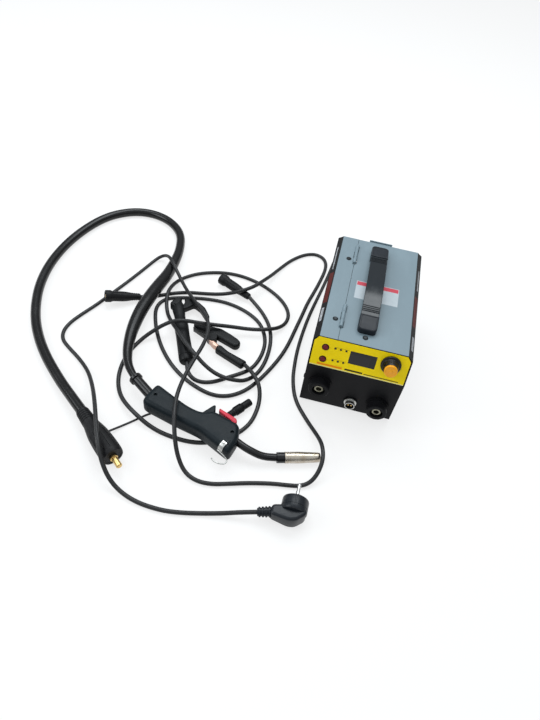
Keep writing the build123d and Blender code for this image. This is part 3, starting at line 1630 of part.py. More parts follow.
with BuildPart() as mains_pins:
    with BuildSketch(head_back.offset(head_length)):
        with GridLocations(1, 2 * schuko_pin_spread, 1, 2):
            Circle(schuko_pin_radius)
    extrude(amount=schuko_pin_length)
mains_pins.part.label = "mains_pins"
export_step(mains_pins.part, "parts/mains_pins.step")

# Round plug of the trigger lead
trigger_plug_tail = trigger_points[-1]
trigger_plug_front = (-150, -173, 7.5)
trigger_plug_waist = 6.2
trigger_plug_grip = 7.5
trigger_plug_length = span(trigger_plug_tail, trigger_plug_front)
with BuildPart() as trigger_plug:
    turn(
        axis_plane(trigger_plug_tail, trigger_plug_front),
        [
            (0, 0),
            (4, 0),
            (trigger_plug_waist, 0.3 * trigger_plug_length),
            (trigger_plug_grip, 0.34 * trigger_plug_length),
            (trigger_plug_grip, 0.62 * trigger_plug_length),
            (trigger_plug_waist, 0.66 * trigger_plug_length),
            (trigger_plug_waist, trigger_plug_length),
            (0, trigger_plug_length),
        ],
    )
trigger_plug.part.label = "trigger_plug"
export_step(trigger_plug.part, "parts/trigger_plug.step")

# Earth clamp: two levers on a pin, jaws closed at the nose
clamp_middle = clamp_bottom + clamp_thickness / 2
clamp_low = Plane(origin=(*clamp_pivot, clamp_bottom))
clamp_lug = clamp_thickness - 2 * clamp_ear - 2 * button_gap
with BuildPart() as clamp_fixed_arm:
    grip = [(66, -49), (73, -36.5), (36, -25), (10, -11), (-12, 4), (-39, 14), (-34, 3), (10, -21)]
    prism(clamp_low, grip, clamp_thickness, corner=clamp_corner)
    rod(clamp_low, clamp_ear_radius, clamp_thickness)
    with Locations((*clamp_pivot, clamp_middle)):
        Cylinder(clamp_ear_radius + 1, clamp_lug + 2 * button_gap, mode=Mode.SUBTRACT)
        Cylinder(clamp_pin_radius, clamp_thickness)
clamp_fixed_arm.part.label = "clamp_fixed_arm"
export_step(clamp_fixed_arm.part, "parts/clamp_fixed_arm.step")

with BuildPart() as clamp_moving_arm:
    lever = [
        (43, -10), (50, -6), (51.5, 3), (46, 9), (30, 17), (10, 25), (-12, 25), (-41, 22), (-38, 15.5),
        (-12, 11), (14, 1), (30, -5),
    ]
    prism(clamp_low, lever, clamp_thickness, corner=clamp_corner)
    with Locations((*clamp_pivot, clamp_middle)):
        Cylinder(clamp_ear_radius + 2 * button_gap, 2 * clamp_thickness, mode=Mode.SUBTRACT)
        Cylinder(clamp_ear_radius - 2, clamp_lug)
        Box(
            clamp_ear_radius,
            2 * clamp_ear_radius - 2,
            clamp_lug,
            align=(Align.CENTER, Align.MIN, Align.CENTER),
        )
        Cylinder(clamp_pin_radius + running_gap, 2 * clamp_thickness, mode=Mode.SUBTRACT)
clamp_moving_arm.part.label = "clamp_moving_arm"
export_step(clamp_moving_arm.part, "parts/clamp_moving_arm.step")

# Electrode holder: round handle, head with the lower jaw, and the sprung lever
holder_tail = electrode_points[-1]
holder_nose = (-333, 3, holder_tail[2])
holder_length = span(holder_tail, holder_nose)
holder_middle = holder_tail[2]
lever_low = Plane(origin=(*holder_pivot, holder_middle - holder_lever_thickness / 2))
with BuildPart() as holder_body:
    turn(
        axis_plane(holder_tail, holder_nose),
        [
            (0, 0),
            (holder_radius - 2, 0),
            (holder_radius, 5),
            (holder_radius, 0.62 * holder_length),
            (holder_radius - 3, 0.7 * holder_length),
            (holder_radius - 1, 0.9 * holder_length),
            (holder_radius - 3, holder_length),
            (0, holder_length),
        ],
    )
    head = [(-345, -7), (-340, 12), (-329, 16), (-327, 6), (-329, -14)]
    prism(Plane(origin=(0, 0, holder_head_low)), head, holder_head_height, corner=clamp_corner)
    with Locations((*holder_pivot, holder_middle)):
        Cylinder(holder_seat_radius, holder_lever_thickness + 2 * button_gap, mode=Mode.SUBTRACT)
        Cylinder(clamp_pin_radius, holder_lever_thickness + 2)
holder_body.part.label = "holder_body"
export_step(holder_body.part, "parts/holder_body.step")

with BuildPart() as holder_lever:
    lever_points = [
        (-1, 0), (-4, 18), (-8, 25), (2, 29), (20, 25), (36, 14), (51, -6), (45, -12), (29, 6), (15, 14)
    ]
    prism(lever_low, lever_points, holder_lever_thickness)
    with Locations((*holder_pivot, holder_middle)):
        Cylinder(holder_hub_radius, holder_lever_thickness)
        Cylinder(clamp_pin_radius + running_gap, 2 * holder_lever_thickness, mode=Mode.SUBTRACT)
holder_lever.part.label = "holder_lever"
export_step(holder_lever.part, "parts/holder_lever.step")
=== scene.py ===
"""Looks of a small wire welder with its torch, clamp, holder and leads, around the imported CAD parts."""

import json
import math

import bmesh
import bpy
from mathutils import Matrix, Vector


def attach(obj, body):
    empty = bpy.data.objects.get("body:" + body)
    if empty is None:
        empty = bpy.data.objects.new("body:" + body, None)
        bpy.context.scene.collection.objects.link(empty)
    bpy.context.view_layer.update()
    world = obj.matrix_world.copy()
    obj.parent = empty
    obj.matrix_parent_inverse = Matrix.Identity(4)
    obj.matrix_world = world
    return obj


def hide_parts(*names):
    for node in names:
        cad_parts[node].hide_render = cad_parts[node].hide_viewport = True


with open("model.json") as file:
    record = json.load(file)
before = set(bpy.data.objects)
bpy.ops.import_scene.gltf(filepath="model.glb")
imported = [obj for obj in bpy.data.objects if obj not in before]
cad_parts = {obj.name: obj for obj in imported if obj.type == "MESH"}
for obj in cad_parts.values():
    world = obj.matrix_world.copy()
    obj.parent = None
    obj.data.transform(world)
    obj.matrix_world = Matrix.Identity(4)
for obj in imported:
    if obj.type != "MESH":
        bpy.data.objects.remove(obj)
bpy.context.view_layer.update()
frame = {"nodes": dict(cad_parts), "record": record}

nodes = frame["nodes"]
MM = 0.001
LID_TOP = 147.0


class Value:
    """A socket of a finish. Arithmetic on it adds Math nodes."""

    def __init__(self, finish, socket):
        self.finish = finish
        self.socket = socket

    def math(self, operation, first, second):
        return self.finish.node("ShaderNodeMath", {"operation": operation}, {0: first, 1: second})

    def __add__(self, other):
        return self.math("ADD", self, other)

    def __radd__(self, other):
        return self.math("ADD", other, self)

    def __sub__(self, other):
        return self.math("SUBTRACT", self, other)

    def __rsub__(self, other):
        return self.math("SUBTRACT", other, self)

    def __mul__(self, other):
        return self.math("MULTIPLY", self, other)

    def __rmul__(self, other):
        return self.math("MULTIPLY", other, self)

    def __gt__(self, other):
        return self.math("GREATER_THAN", self, other)

    def __lt__(self, other):
        return self.math("LESS_THAN", self, other)


class Finish:
    """A procedural material whose shader is one Principled BSDF."""

    def __init__(self, name, colour, roughness, metallic=0.0, **constants):
        self.material = bpy.data.materials.new(name)
        self.material.use_nodes = True
        self.tree = self.material.node_tree
        self.shader = self.tree.nodes["Principled BSDF"]
        self.feed(self.shader.inputs["Base Color"], colour)
        self.feed(self.shader.inputs["Roughness"], roughness)
        self.feed(self.shader.inputs["Metallic"], metallic)
        for key, value in constants.items():
            self.shader.inputs[key.replace("_", " ").title().replace("Ior", "IOR")].default_value = value

    def feed(self, socket, value):
        if isinstance(value, Value):
            self.tree.links.new(value.socket, socket)
        elif isinstance(value, tuple) and len(value) == 3 and socket.type == "RGBA":
            socket.default_value = (*value, 1.0)
        else:
            socket.default_value = value

    def node(self, kind, settings=None, inputs=None, out=0):
        made = self.tree.nodes.new(kind)
        for key, value in (settings or {}).items():
            if key == "stops":
                for stop, (place, shade) in zip(made.color_ramp.elements, value):
                    stop.position = place
                    stop.color = (shade, shade, shade, 1.0)
            else:
                setattr(made, key, value)
        for key, value in (inputs or {}).items():
            self.feed(made.inputs[key], value)
        return Value(self, made.outputs[out])

    def place(self):
        return self.node("ShaderNodeTexCoord", out="Object")

    def axes(self):
        split = self.tree.nodes.new("ShaderNodeSeparateXYZ")
        self.feed(split.inputs[0], self.place())
        return [Value(self, split.outputs[i]) for i in range(3)]

    def noise(self, scale, detail=2.0, roughness=0.55, stretch=(1.0, 1.0, 1.0)):
        spot = self.node("ShaderNodeMapping", None, {"Vector": self.place(), "Scale": stretch})
        return self.node(
            "ShaderNodeTexNoise", None,
            {"Vector": spot, "Scale": scale, "Detail": detail, "Roughness": roughness},
        )

    def ramp(self, value, low, high):
        return self.node("ShaderNodeValToRGB", {"stops": [(low, 0.0), (high, 1.0)]}, {0: value})

    def mix(self, mask, first, second):
        return self.node("ShaderNodeMix", {"data_type": "RGBA"}, {0: mask, 6: first, 7: second}, out=2)

    def band(self, value, low, high):
        return (value > low) * (value < high)

    def colour(self, value):
        self.feed(self.shader.inputs["Base Color"], value)

    def rough(self, value):
        self.feed(self.shader.inputs["Roughness"], value)

    def metal(self, value):
        self.feed(self.shader.inputs["Metallic"], value)

    def bump(self, height, distance, strength=1.0):
        relief = self.node(
            "ShaderNodeBump", None, {"Height": height, "Distance": distance, "Strength": strength}
        )
        self.feed(self.shader.inputs["Normal"], relief)


def shade(red, green, blue):
    """A screen colour, 0 to 255, as the linear colour that a shader takes."""
    lit = [c / 255 for c in (red, green, blue)]
    return tuple(c / 12.92 if c <= 0.04045 else ((c + 0.055) / 1.055) ** 2.4 for c in lit)


def dress(finish, *names):
    """Gives a finish to every slot of the named CAD nodes."""
    for name in names:
        slots = nodes[name].data.materials
        if len(slots) == 0:
            slots.append(finish.material)
        for i in range(len(slots)):
            slots[i] = finish.material


def black_plastic(name, base, gloss=0.42, grain=900.0, depth=0.00006, sheen=0.2):
    """Moulded black plastic with a fine grain, faint dust and handling marks."""
    made = Finish(name, base, gloss, specular_ior_level=sheen)
    dust = made.ramp(made.noise(38.0, 5.0, 0.65), 0.50, 0.82)
    worn = made.noise(140.0, 3.0)
    made.colour(made.mix(dust * 0.3, base, tuple(min(1.0, 2.0 * c + 0.008) for c in base)))
    made.rough(gloss - 0.08 + worn * 0.12 + dust * 0.14)
    made.bump(made.noise(grain, 2.0), depth, 0.6)
    return made


def coated(made, base, dusty, gloss):
    """Stoved powder paint with orange peel, faint smears and rubbed places; gives its colour."""
    cloud = made.noise(9.0, 4.0, 0.6)
    smear = made.ramp(made.noise(22.0, 5.0, 0.7, (1.0, 0.35, 1.0)), 0.52, 0.78)
    speck = made.ramp(made.noise(620.0, 1.0), 0.66, 0.74)
    tone = made.mix(cloud, tuple(0.92 * c for c in base), tuple(min(1.0, 1.07 * c) for c in base))
    tone = made.mix(smear * 0.3, tone, dusty)
    made.rough(gloss - 0.05 + cloud * 0.12 + smear * 0.14)
    made.bump(made.noise(1500.0, 2.0) + made.noise(420.0, 1.0) * 0.6, 0.00005, 0.7)
    return made.mix(speck * 0.2, tone, dusty)


def bare_metal(name, base, gloss, brush=(1.0, 1.0, 1.0), tarnish=None):
    """Plain metal with drawn lines along one way and darker tarnished patches."""
    made = Finish(name, base, gloss, 1.0)
    lines = made.noise(900.0, 3.0, 0.6, brush)
    patch = made.ramp(made.noise(90.0, 4.0, 0.6), 0.42, 0.75)
    made.colour(made.mix(patch * 0.6, base, tarnish or tuple(0.55 * c for c in base)))
    made.rough(gloss - 0.06 + lines * 0.14 + patch * 0.16)
    made.bump(lines, 0.00003, 0.5)
    return made


def tinted(name, base, gloss, deep, fine=700.0, **constants):
    """Coloured plastic, uneven in tone and gloss, with a fine surface and rubbed spots."""
    made = Finish(name, base, gloss, **constants)
    cloud = made.noise(60.0, 4.0, 0.6)
    rub = made.ramp(made.noise(210.0, 4.0, 0.65), 0.55, 0.80)
    made.colour(made.mix(cloud * 0.45 + rub * 0.25, base, deep))
    made.rough(gloss - 0.05 + cloud * 0.10 + rub * 0.16)
    made.bump(made.noise(fine, 2.0), 0.00004, 0.5)
    return made


def striped_case():
    """Black case paint with plain stripes along both top chamfers."""
    black, dusty, gloss = (0.006, 0.006, 0.007), (0.022, 0.022, 0.025), 0.42
    dark_red, pale_grey = (0.085, 0.012, 0.010), (0.42, 0.43, 0.45)
    made = Finish("case_black_paint", black, gloss, specular_ior_level=0.14)
    tone = coated(made, black, dusty, gloss)
    x, y, z = made.axes()
    chamfer = made.band(z, 0.1402, 0.1455)
    thin, thick = made.band(z, 0.1415, 0.1430), made.band(z, 0.1410, 0.1440)
    left = x < 0.0
    right = 1.0 - left
    fade = made.ramp(made.noise(300.0, 3.0), 0.40, 0.62)
    red = made.band(y, -0.051, 0.026) * left + made.band(y, -0.060, 0.012) * right
    pale = ((made.band(y, 0.036, 0.100) * thin + made.band(y, -0.094, -0.063) * thick) * left
            + (made.band(y, 0.029, 0.083) * thin + made.band(y, -0.112, -0.082) * thick) * right)
    tone = made.mix(chamfer * red, tone, dark_red)
    made.colour(made.mix(chamfer * pale * (0.55 + fade * 0.35), tone, pale_grey))
    return made


def lid_paint():
    """Grey case paint, with a plain red band over a pale field on the middle of the lid."""
    grey, dusty, gloss = shade(117, 135, 144), shade(142, 160, 169), 0.44
    just_below_top = 0.1467
    made = Finish("lid_grey_paint", grey, gloss, specular_ior_level=0.42)
    tone = coated(made, grey, dusty, gloss)
    x, y, z = made.axes()
    flat = (z > just_below_top) * made.band(x, -0.0285, 0.0415)
    faded = made.ramp(made.noise(240.0, 3.0), 0.35, 0.75)
    field = made.band(y, -0.0275, 0.0160)
    red = made.band(y, 0.0055, 0.0148) * made.band(x, -0.0275, 0.0405)
    pale_tone = made.mix(faded * 0.5, shade(206, 212, 216), shade(182, 194, 202))
    red_tone = made.mix(faded * 0.5, shade(196, 52, 70), shade(172, 60, 78))
    tone = made.mix(flat * field * 0.62, tone, pale_tone)
    made.colour(made.mix(flat * red, tone, red_tone))
    return made


def panel_film():
    """Yellow film on the control face, with plain bands and a painted highlight along its lower edge."""
    base = shade(252, 222, 0)
    made = Finish("panel_yellow", base, 0.34, specular_ior_level=0.14)
    way_per_drop, tick_width = 1.0384, 0.0007
    x, _, z = made.axes()
    cloud = made.noise(26.0, 3.0)
    rub = made.ramp(made.noise(180.0, 5.0, 0.7), 0.58, 0.80)
    down = (LID_TOP * MM - z) * way_per_drop
    tone = made.mix(cloud * 0.5 + rub * 0.2, base, shade(236, 202, 2))
    for across, along, ink in (
        ((-0.0615, -0.0225), (0.0445, 0.0478), shade(236, 138, 10)),
        ((-0.0185, 0.0090), (0.0447, 0.0476), shade(40, 38, 20)),
        ((0.0110, 0.0640), (0.0460, 0.0476), shade(70, 64, 24)),
    ):
        tone = made.mix(made.band(x, *across) * made.band(down, *along), tone, ink)
    for row in (0.0125, 0.0335):
        tick = made.band(x, -0.0415, -0.0190) * made.band(down, row, row + tick_width)
        tone = made.mix(tick * 0.7, tone, shade(96, 86, 20))
    # painted highlight: the pale band along the lower edge stands in for light catching that edge
    tone = made.mix(down > 0.0490, tone, shade(236, 226, 150))
    made.colour(tone)
    made.rough(0.30 + cloud * 0.10 + rub * 0.16)
    made.bump(made.noise(900.0, 2.0), 0.00003, 0.4)
    return made


def display_glass():
    """Dark glossy window with a faint digit field and wiping marks."""
    made = Finish("display_dark", (0.006, 0.007, 0.010), 0.12, specular_ior_level=0.35)
    x, _, z = made.axes()
    field = made.band(x, -0.0150, 0.0150) * made.band(z, 0.1150, 0.1295)
    wiped = made.ramp(made.noise(55.0, 5.0, 0.7, (0.4, 1.0, 1.0)), 0.50, 0.78)
    made.colour(made.mix(field * 0.7, (0.005, 0.006, 0.008), (0.014, 0.013, 0.016)))
    made.rough(0.08 + wiped * 0.22)
    made.bump(made.noise(300.0, 2.0), 0.00001, 0.3)
    return made


def socket_metal():
    """Plated control socket whose mouth is a dark plastic lining."""
    made = Finish("control_socket_plate", (0.62, 0.62, 0.60), 0.30, 1.0)
    middle_x, middle_z, mouth_radius = 0.006, 0.028, 0.0068
    x, _, z = made.axes()
    off_x, off_z = x - middle_x, z - middle_z
    mouth = (off_x * off_x + off_z * off_z) < mouth_radius * mouth_radius
    patch = made.ramp(made.noise(140.0, 4.0, 0.6), 0.42, 0.75)
    plate = made.mix(patch * 0.6, (0.64, 0.64, 0.62), (0.36, 0.36, 0.34))
    made.colour(made.mix(mouth, plate, (0.006, 0.006, 0.006)))
    made.metal(1.0 - mouth)
    made.rough(0.24 + patch * 0.2 + mouth * 0.2)
    made.bump(made.noise(700.0, 2.0), 0.00002, 0.5)
    return made


def jaw_metal():
    """Copper by the handle, blackened towards the nose."""
    made = Finish("copper_jaw", (0.62, 0.42, 0.34), 0.36, 1.0)
    bare_from, per_metre = -0.252, 60.0
    x, _, _ = made.axes()
    worn = made.noise(160.0, 4.0, 0.6)
    bare = made.ramp((x - bare_from) * per_metre + worn * 0.3, 0.10, 0.35)
    copper = made.mix(worn, (0.70, 0.50, 0.42), (0.48, 0.29, 0.22))
    made.colour(made.mix(bare, (0.012, 0.012, 0.013), copper))
    made.metal(0.2 + bare * 0.8)
    made.rough(0.30 + worn * 0.2)
    made.bump(made.noise(600.0, 2.0), 0.00004, 0.5)
    return made


def circuit_lacquer():
    """Green board with paler tracks and solder specks."""
    made = Finish("circuit_board", (0.010, 0.085, 0.030), 0.40, specular_ior_level=0.4)
    tracks = made.ramp(made.noise(420.0, 0.0, 0.5, (1.0, 0.12, 1.0)), 0.52, 0.56)
    solder = made.ramp(made.noise(900.0, 1.0), 0.70, 0.74)
    tone = made.mix(tracks * 0.5, (0.008, 0.070, 0.026), (0.020, 0.140, 0.050))
    made.colour(made.mix(solder * 0.7, tone, (0.42, 0.42, 0.40)))
    made.rough(0.34 + tracks * 0.1 + solder * 0.1)
    made.bump(tracks * 0.5 + solder, 0.00006, 0.6)
    return made


# Finishes

case_black = striped_case()
case_grey = lid_paint()
bezel_black = black_plastic("front_moulding_black", (0.006, 0.006, 0.007), 0.50, sheen=0.10)
knob_black = black_plastic("knob_black", (0.007, 0.006, 0.005), 0.34, sheen=0.35)
fan_black = black_plastic("fan_black", (0.012, 0.012, 0.013), 0.45)
rubber = black_plastic("rubber_black", (0.008, 0.008, 0.009), 0.50, 700.0, 0.00008)
gloss_rubber = black_plastic("glossy_rubber", (0.006, 0.006, 0.007), 0.24, 500.0, 0.00004, 0.35)
torch_black = black_plastic("torch_blue_black", shade(16, 25, 30), 0.44, 650.0, 0.00010, 0.17)
# painted reflection: the strap is black, and its slight blue tint stands in for the cool light its gloss
# reflects
strap_black = black_plastic("strap_black", (0.005, 0.009, 0.013), 0.15, 420.0, 0.00002, 0.42)
cap_black = black_plastic("cap_black", shade(26, 31, 38), 0.40, 600.0, 0.00006, 0.25)
plug_black = black_plastic("plug_blue_black", shade(22, 27, 33), 0.34, 700.0, 0.00006, 0.3)
clamp_black = black_plastic("clamp_black", shade(16, 17, 19), 0.46, 600.0, 0.00008)
spool_grey = black_plastic("spool_plastic", shade(60, 62, 66), 0.40)
zinc = bare_metal("zinc_plate", (0.62, 0.62, 0.60), 0.34)
dark_screw = bare_metal("blackened_screw", (0.050, 0.056, 0.060), 0.22, tarnish=(0.02, 0.02, 0.02))
steel = bare_metal("bright_steel", (0.60, 0.60, 0.60), 0.28, (1.0, 1.0, 0.1))
alloy = bare_metal("cast_alloy", (0.55, 0.56, 0.57), 0.42)
brass = bare_metal("brass", (0.72, 0.50, 0.20), 0.26)
dull_plate = bare_metal("socket_plating", (0.36, 0.35, 0.27), 0.34, tarnish=(0.16, 0.155, 0.11))
nozzle = bare_metal("nozzle_steel", (0.55, 0.50, 0.43), 0.26, (1.0, 0.1, 0.1), (0.36, 0.27, 0.17))
control_plate = socket_metal()
copper_jaw = jaw_metal()
amber = tinted("knob_amber", shade(246, 170, 28), 0.34, shade(226, 142, 16), 500.0, specular_ior_level=0.35)
yellow = panel_film()
screen = display_glass()
red_key = tinted("button_dark_red", shade(112, 18, 34), 0.36, shade(80, 10, 22), specular_ior_level=0.3)
pilot = tinted("pilot_light_dark", (0.014, 0.011, 0.006), 0.20, (0.006, 0.005, 0.004), specular_ior_level=0.4)
trigger_red = tinted(
    "trigger_red", shade(212, 56, 74), 0.42, shade(176, 34, 52), 400.0, specular_ior_level=0.25
)
board = circuit_lacquer()


FINISH_OF_SLOT = {
    "case_paint_black": case_black, "case_paint_grey": case_grey, "bezel_black": bezel_black,
    "panel_yellow": yellow, "display_dark": screen, "button_red": red_key, "light_clear": pilot,
    "knob_black": knob_black, "knob_amber": amber, "handle_black": strap_black, "board_green": board,
    "fan_black": fan_black, "rubber_black": rubber, "lead_black": rubber, "steel": steel, "zinc": zinc,
    "alloy": alloy, "brass": brass, "torch_plastic": torch_black, "trigger_red": trigger_red,
    "nozzle_steel": nozzle, "spool_plastic": spool_grey,
}
for part in frame["record"]["subparts"]:
    dress(FINISH_OF_SLOT[part["material_slot"]], part["node"])
dress(dull_plate, "socket_inserts")
dress(control_plate, "control_socket")
dress(dark_screw, "case_screws", "lid_screw")
dress(gloss_rubber, "torch_neck", "torch_strain_relief")

# Leads and hose

MAINS = [
    (-38, 150, 25), (-36, 166, 22), (-28, 183, 13), (-18, 201, 4), (-8, 221, 0), (-5, 243, 0), (-13, 262, 0),
    (-29, 273, 0), (-49, 273, 0), (-65, 262, 0), (-74, 243, 0), (-76, 215, 0), (-80, 176, 0), (-85, 136, 0),
    (-90, 100, 0), (-95, 58, 0), (-98, 14, 0), (-99, -30, 0), (-97, -68, 0), (-93, -104, 0), (-81, -144, 0),
    (-55, -178, 0), (-35, -206, 8), (-24, -228, 18), (-18, -251, 18), (-20, -272, 11), (-28, -288, 3),
    (-41, -297, 0), (-59, -301, 0), (-84, -305, 0), (-117, -314, 0), (-143, -323, 0), (-167, -331, 0),
    (-190, -332, 0), (-210, -324, 2), (-225, -309, 14), (-236, -290, 30), (-246, -263, 41), (-253, -239, 42),
    (-257, -212, 41), (-258, -176, 37), (-255, -140, 36), (-251, -106, 35), (-252, -74, 33), (-260, -46, 34),
    (-279, -20, 28), (-304, 8, 22), (-331, 42, 13), (-354, 71, 15), (-370, 89, 22), (-384, 107, 22),
    (-395, 120, 15), (-405, 126, 8), (-414, 123, 3), (-420, 112, 1), (-427, 92, 0), (-437, 60, 0),
    (-448, 28, 0), (-460, -5, 0), (-472, -39, 0), (-486, -70, 0), (-496, -96, 0), (-498, -119, 0),
    (-490, -138, 0), (-471, -152, 0), (-446, -168, 0), (-419, -191, 4), (-394, -225, 17), (-371, -263, 32),
    (-351, -301, 38), (-335, -331, 38), (-322, -352, 27), (-307, -367, 12), (-287, -378, 2), (-258, -387, 0),
    (-222, -389, 0), (-195, -385, 0), (-167, -378, 0), (-138, -371, 3), (-114, -365, 8), (-93, -360, 10.75),
]
HOSE = [
    (-336, -193, 13), (-354, -176, 12), (-369, -147, 10.5), (-379, -111, 10.5), (-384, -76, 10.5),
    (-386, -40, 10.5), (-384, -2, 10.5), (-381, 36, 8), (-378, 70, 4), (-378, 108, 1.9), (-382, 158, 0.6),
    (-398, 211, 0), (-436, 246, 0), (-484, 257, 0), (-528, 243, 0), (-568, 202, 0), (-594, 123, 0),
    (-600, 44, 0), (-589, -26, 0), (-566, -86, 0), (-539, -133, 0), (-501, -179, 0), (-453, -223, 2),
    (-416, -253, 6), (-388, -275, 8.5),
]
HOSE_WIDTHS = [0.68, 0.78, 0.95, 1.15, 1.32, 1.40, 1.40, 1.38, 1.30, 1.18, 1.05] + [1.0] * 14
ELECTRODE = [
    (-405, 1, 4.5), (-391, 9, 2), (-374, 21, 0), (-352, 36, 0), (-328, 47, 0), (-297, 54, 0), (-268, 59, 3),
    (-245, 62, 11), (-224, 70, 18), (-208, 88, 18), (-198, 111, 15), (-188, 141, 7), (-176, 178, 1),
    (-161, 211, 0), (-140, 238, 0), (-119, 250, 0), (-101, 246, 0), (-90, 231, 0), (-87, 207, 0),
    (-91, 170, 0), (-97, 132, 0), (-104, 95, 0), (-108, 55, 0), (-113, 12, 0), (-117, -24, 0), (-123, -54, 0),
    (-131, -80, 0), (-140, -104, 0), (-151, -129, 0), (-166, -153, 0), (-188, -171, 0), (-215, -176, 0),
    (-248, -166, 0), (-277, -150, 0), (-303, -129, 0), (-328, -100, 0), (-348, -68, 0), (-361, -40, 0),
    (-369, -16, 0), (-368, 3, 0), (-359, 17, 0), (-342, 26, 0), (-318, 34, 0), (-290, 41, 0), (-260, 44, 0),
    (-236, 41, 0), (-214, 34, 0), (-195, 24, 0), (-179, 11, 0), (-167, -7, 0), (-158, -31, 0), (-156, -56, 0),
    (-159, -81, 0), (-167, -103, 0), (-182, -118, 0), (-197, -130, 0), (-209, -141, 0), (-222, -150, 0),
    (-236, -155, 0), (-250, -155, 1.5), (-261, -149, 4.5), (-268, -139, 6.5), (-272, -127, 7.5),
]
EARTH = [
    (-214, 67, 6), (-197, 55, 2), (-179, 38, 0), (-161, 12, 0), (-150, -19, 0), (-146, -54, 0),
    (-148, -88, 0), (-156, -114, 0), (-170, -131, 1), (-186, -140, 7), (-203, -143, 11), (-223, -139, 13),
    (-243, -131, 19), (-261, -120, 25.5), (-283, -102, 26), (-305, -77, 24), (-326, -49, 10), (-344, -22, 0),
    (-353, -3, 4), (-358, 14, 10.5), (-360, 34, 10.5), (-358, 60, 5), (-348, 86, 0), (-324, 108, 0),
    (-286, 125, 0), (-248, 129, 0), (-211, 121, 0), (-182, 107, 0), (-158, 90, 0), (-140, 69, 0),
    (-131, 47, 0), (-133, 25, 0), (-143, 6, 4), (-156, -8, 10.5), (-174, -16, 10.5), (-197, -20, 9),
    (-222, -28, 14), (-249, -39, 20), (-274, -48, 25), (-298, -56, 31), (-318, -62, 30), (-337, -69, 18),
    (-349, -79, 11), (-361, -92, 4), (-369, -108, 0), (-374, -128, 0), (-375, -153, 0), (-371, -180, 0),
    (-362, -204, 0), (-347, -226, 3), (-327, -243, 7), (-307, -255, 7), (-289, -262, 2), (-268, -268, 0),
    (-247, -271, 0), (-228, -272, 0), (-209, -270, 0), (-191, -264, 0), (-174, -254, 0), (-159, -241, 0),
    (-147, -226, 0), (-139, -208, 0), (-136, -187, 0), (-136, -168, 1), (-139, -152, 6), (-145, -138, 11),
    (-155, -125, 11.5), (-166, -113, 10.5), (-178.5, -102, 7.5),
]
TRIGGER_LEAD = [
    (-343, -297, 8), (-336, -285, 3), (-325, -271, 0), (-311, -256, 0), (-297, -240, 0), (-279, -228, 0),
    (-256, -225, 0), (-231, -231, 0), (-209, -237, 0), (-193, -233, 0), (-184, -223, 2.5), (-177, -212, 5.75),
]


def sheath(name, base, gloss, sheen):
    """Soft cable sheath, a little dusty, with long scuffs."""
    made = Finish(name, base, gloss, specular_ior_level=sheen)
    dust = made.ramp(made.noise(16.0, 5.0, 0.6), 0.48, 0.78)
    scuff = made.ramp(made.noise(75.0, 4.0, 0.7), 0.58, 0.78)
    tone = made.mix(dust * 0.4, base, tuple(1.7 * c + 0.003 for c in base))
    made.colour(made.mix(scuff * 0.22, tone, (0.060, 0.060, 0.062)))
    made.rough(gloss - 0.06 + dust * 0.12 + scuff * 0.14)
    made.bump(made.noise(260.0, 3.0), 0.00010, 0.5)
    return made


def swept(name, points, radius, along, across):
    """A round bar with closed ends on one smooth line, still a curve."""
    curve = bpy.data.curves.new(name, "CURVE")
    curve.dimensions = "3D"
    line = curve.splines.new("NURBS")
    line.points.add(len(points) - 1)
    for point, spot in zip(line.points, points):
        point.co = (*(c * MM for c in spot), 1.0)
    line.order_u = 3
    line.use_endpoint_u = True
    line.resolution_u = along
    curve.bevel_depth = radius * MM
    curve.bevel_resolution = across
    curve.use_fill_caps = True
    piece = bpy.data.objects.new(name, curve)
    bpy.context.scene.collection.objects.link(piece)
    return piece


def lead(name, route, diameter, finish, widths=None):
    """A cord on one smooth line: the route's points give the way and the height of its underside."""
    radius = diameter / 2
    piece = swept(name, [(x, y, radius + lift) for x, y, lift in route], radius, 10, 5)
    for point, width in zip(piece.data.splines[0].points, widths or []):
        point.radius = width
    piece.data.materials.append(finish.material)
    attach(piece, "welder")
    return piece


lead_grey_black = sheath("lead_sheath", shade(36, 36, 37), 0.42, 0.32)
hose_black = sheath("hose_sleeve", shade(14, 14, 15), 0.26, 0.32)

# Shaping


def only(piece):
    """Leaves this piece alone selected and active."""
    bpy.ops.object.select_all(action="DESELECT")
    piece.select_set(True)
    bpy.context.view_layer.objects.active = piece


def begin(adder, name, **settings):
    """Adds a primitive with nothing else selected."""
    bpy.ops.object.select_all(action="DESELECT")
    adder(**settings)
    piece = bpy.context.active_object
    piece.name = name
    piece.data.name = name
    return piece


def pick(piece, test):
    """Selects the faces, in edit mode, whose middle and normal pass a test."""
    bpy.ops.mesh.select_mode(type="FACE")
    bpy.ops.mesh.select_all(action="DESELECT")
    mesh = bmesh.from_edit_mesh(piece.data)
    mesh.normal_update()
    for side in mesh.faces:
        side.select_set(bool(test(side.calc_center_median() / MM, side.normal)))
    mesh.select_flush_mode()
    bmesh.update_edit_mesh(piece.data)


def close_up(piece):
    """Merges doubles and turns every face outwards."""
    only(piece)
    bpy.ops.object.mode_set(mode="EDIT")
    bpy.ops.mesh.select_all(action="SELECT")
    bpy.ops.mesh.remove_doubles(threshold=0.00001)
    bpy.ops.mesh.normals_make_consistent(inside=False)
    bpy.ops.object.mode_set(mode="OBJECT")


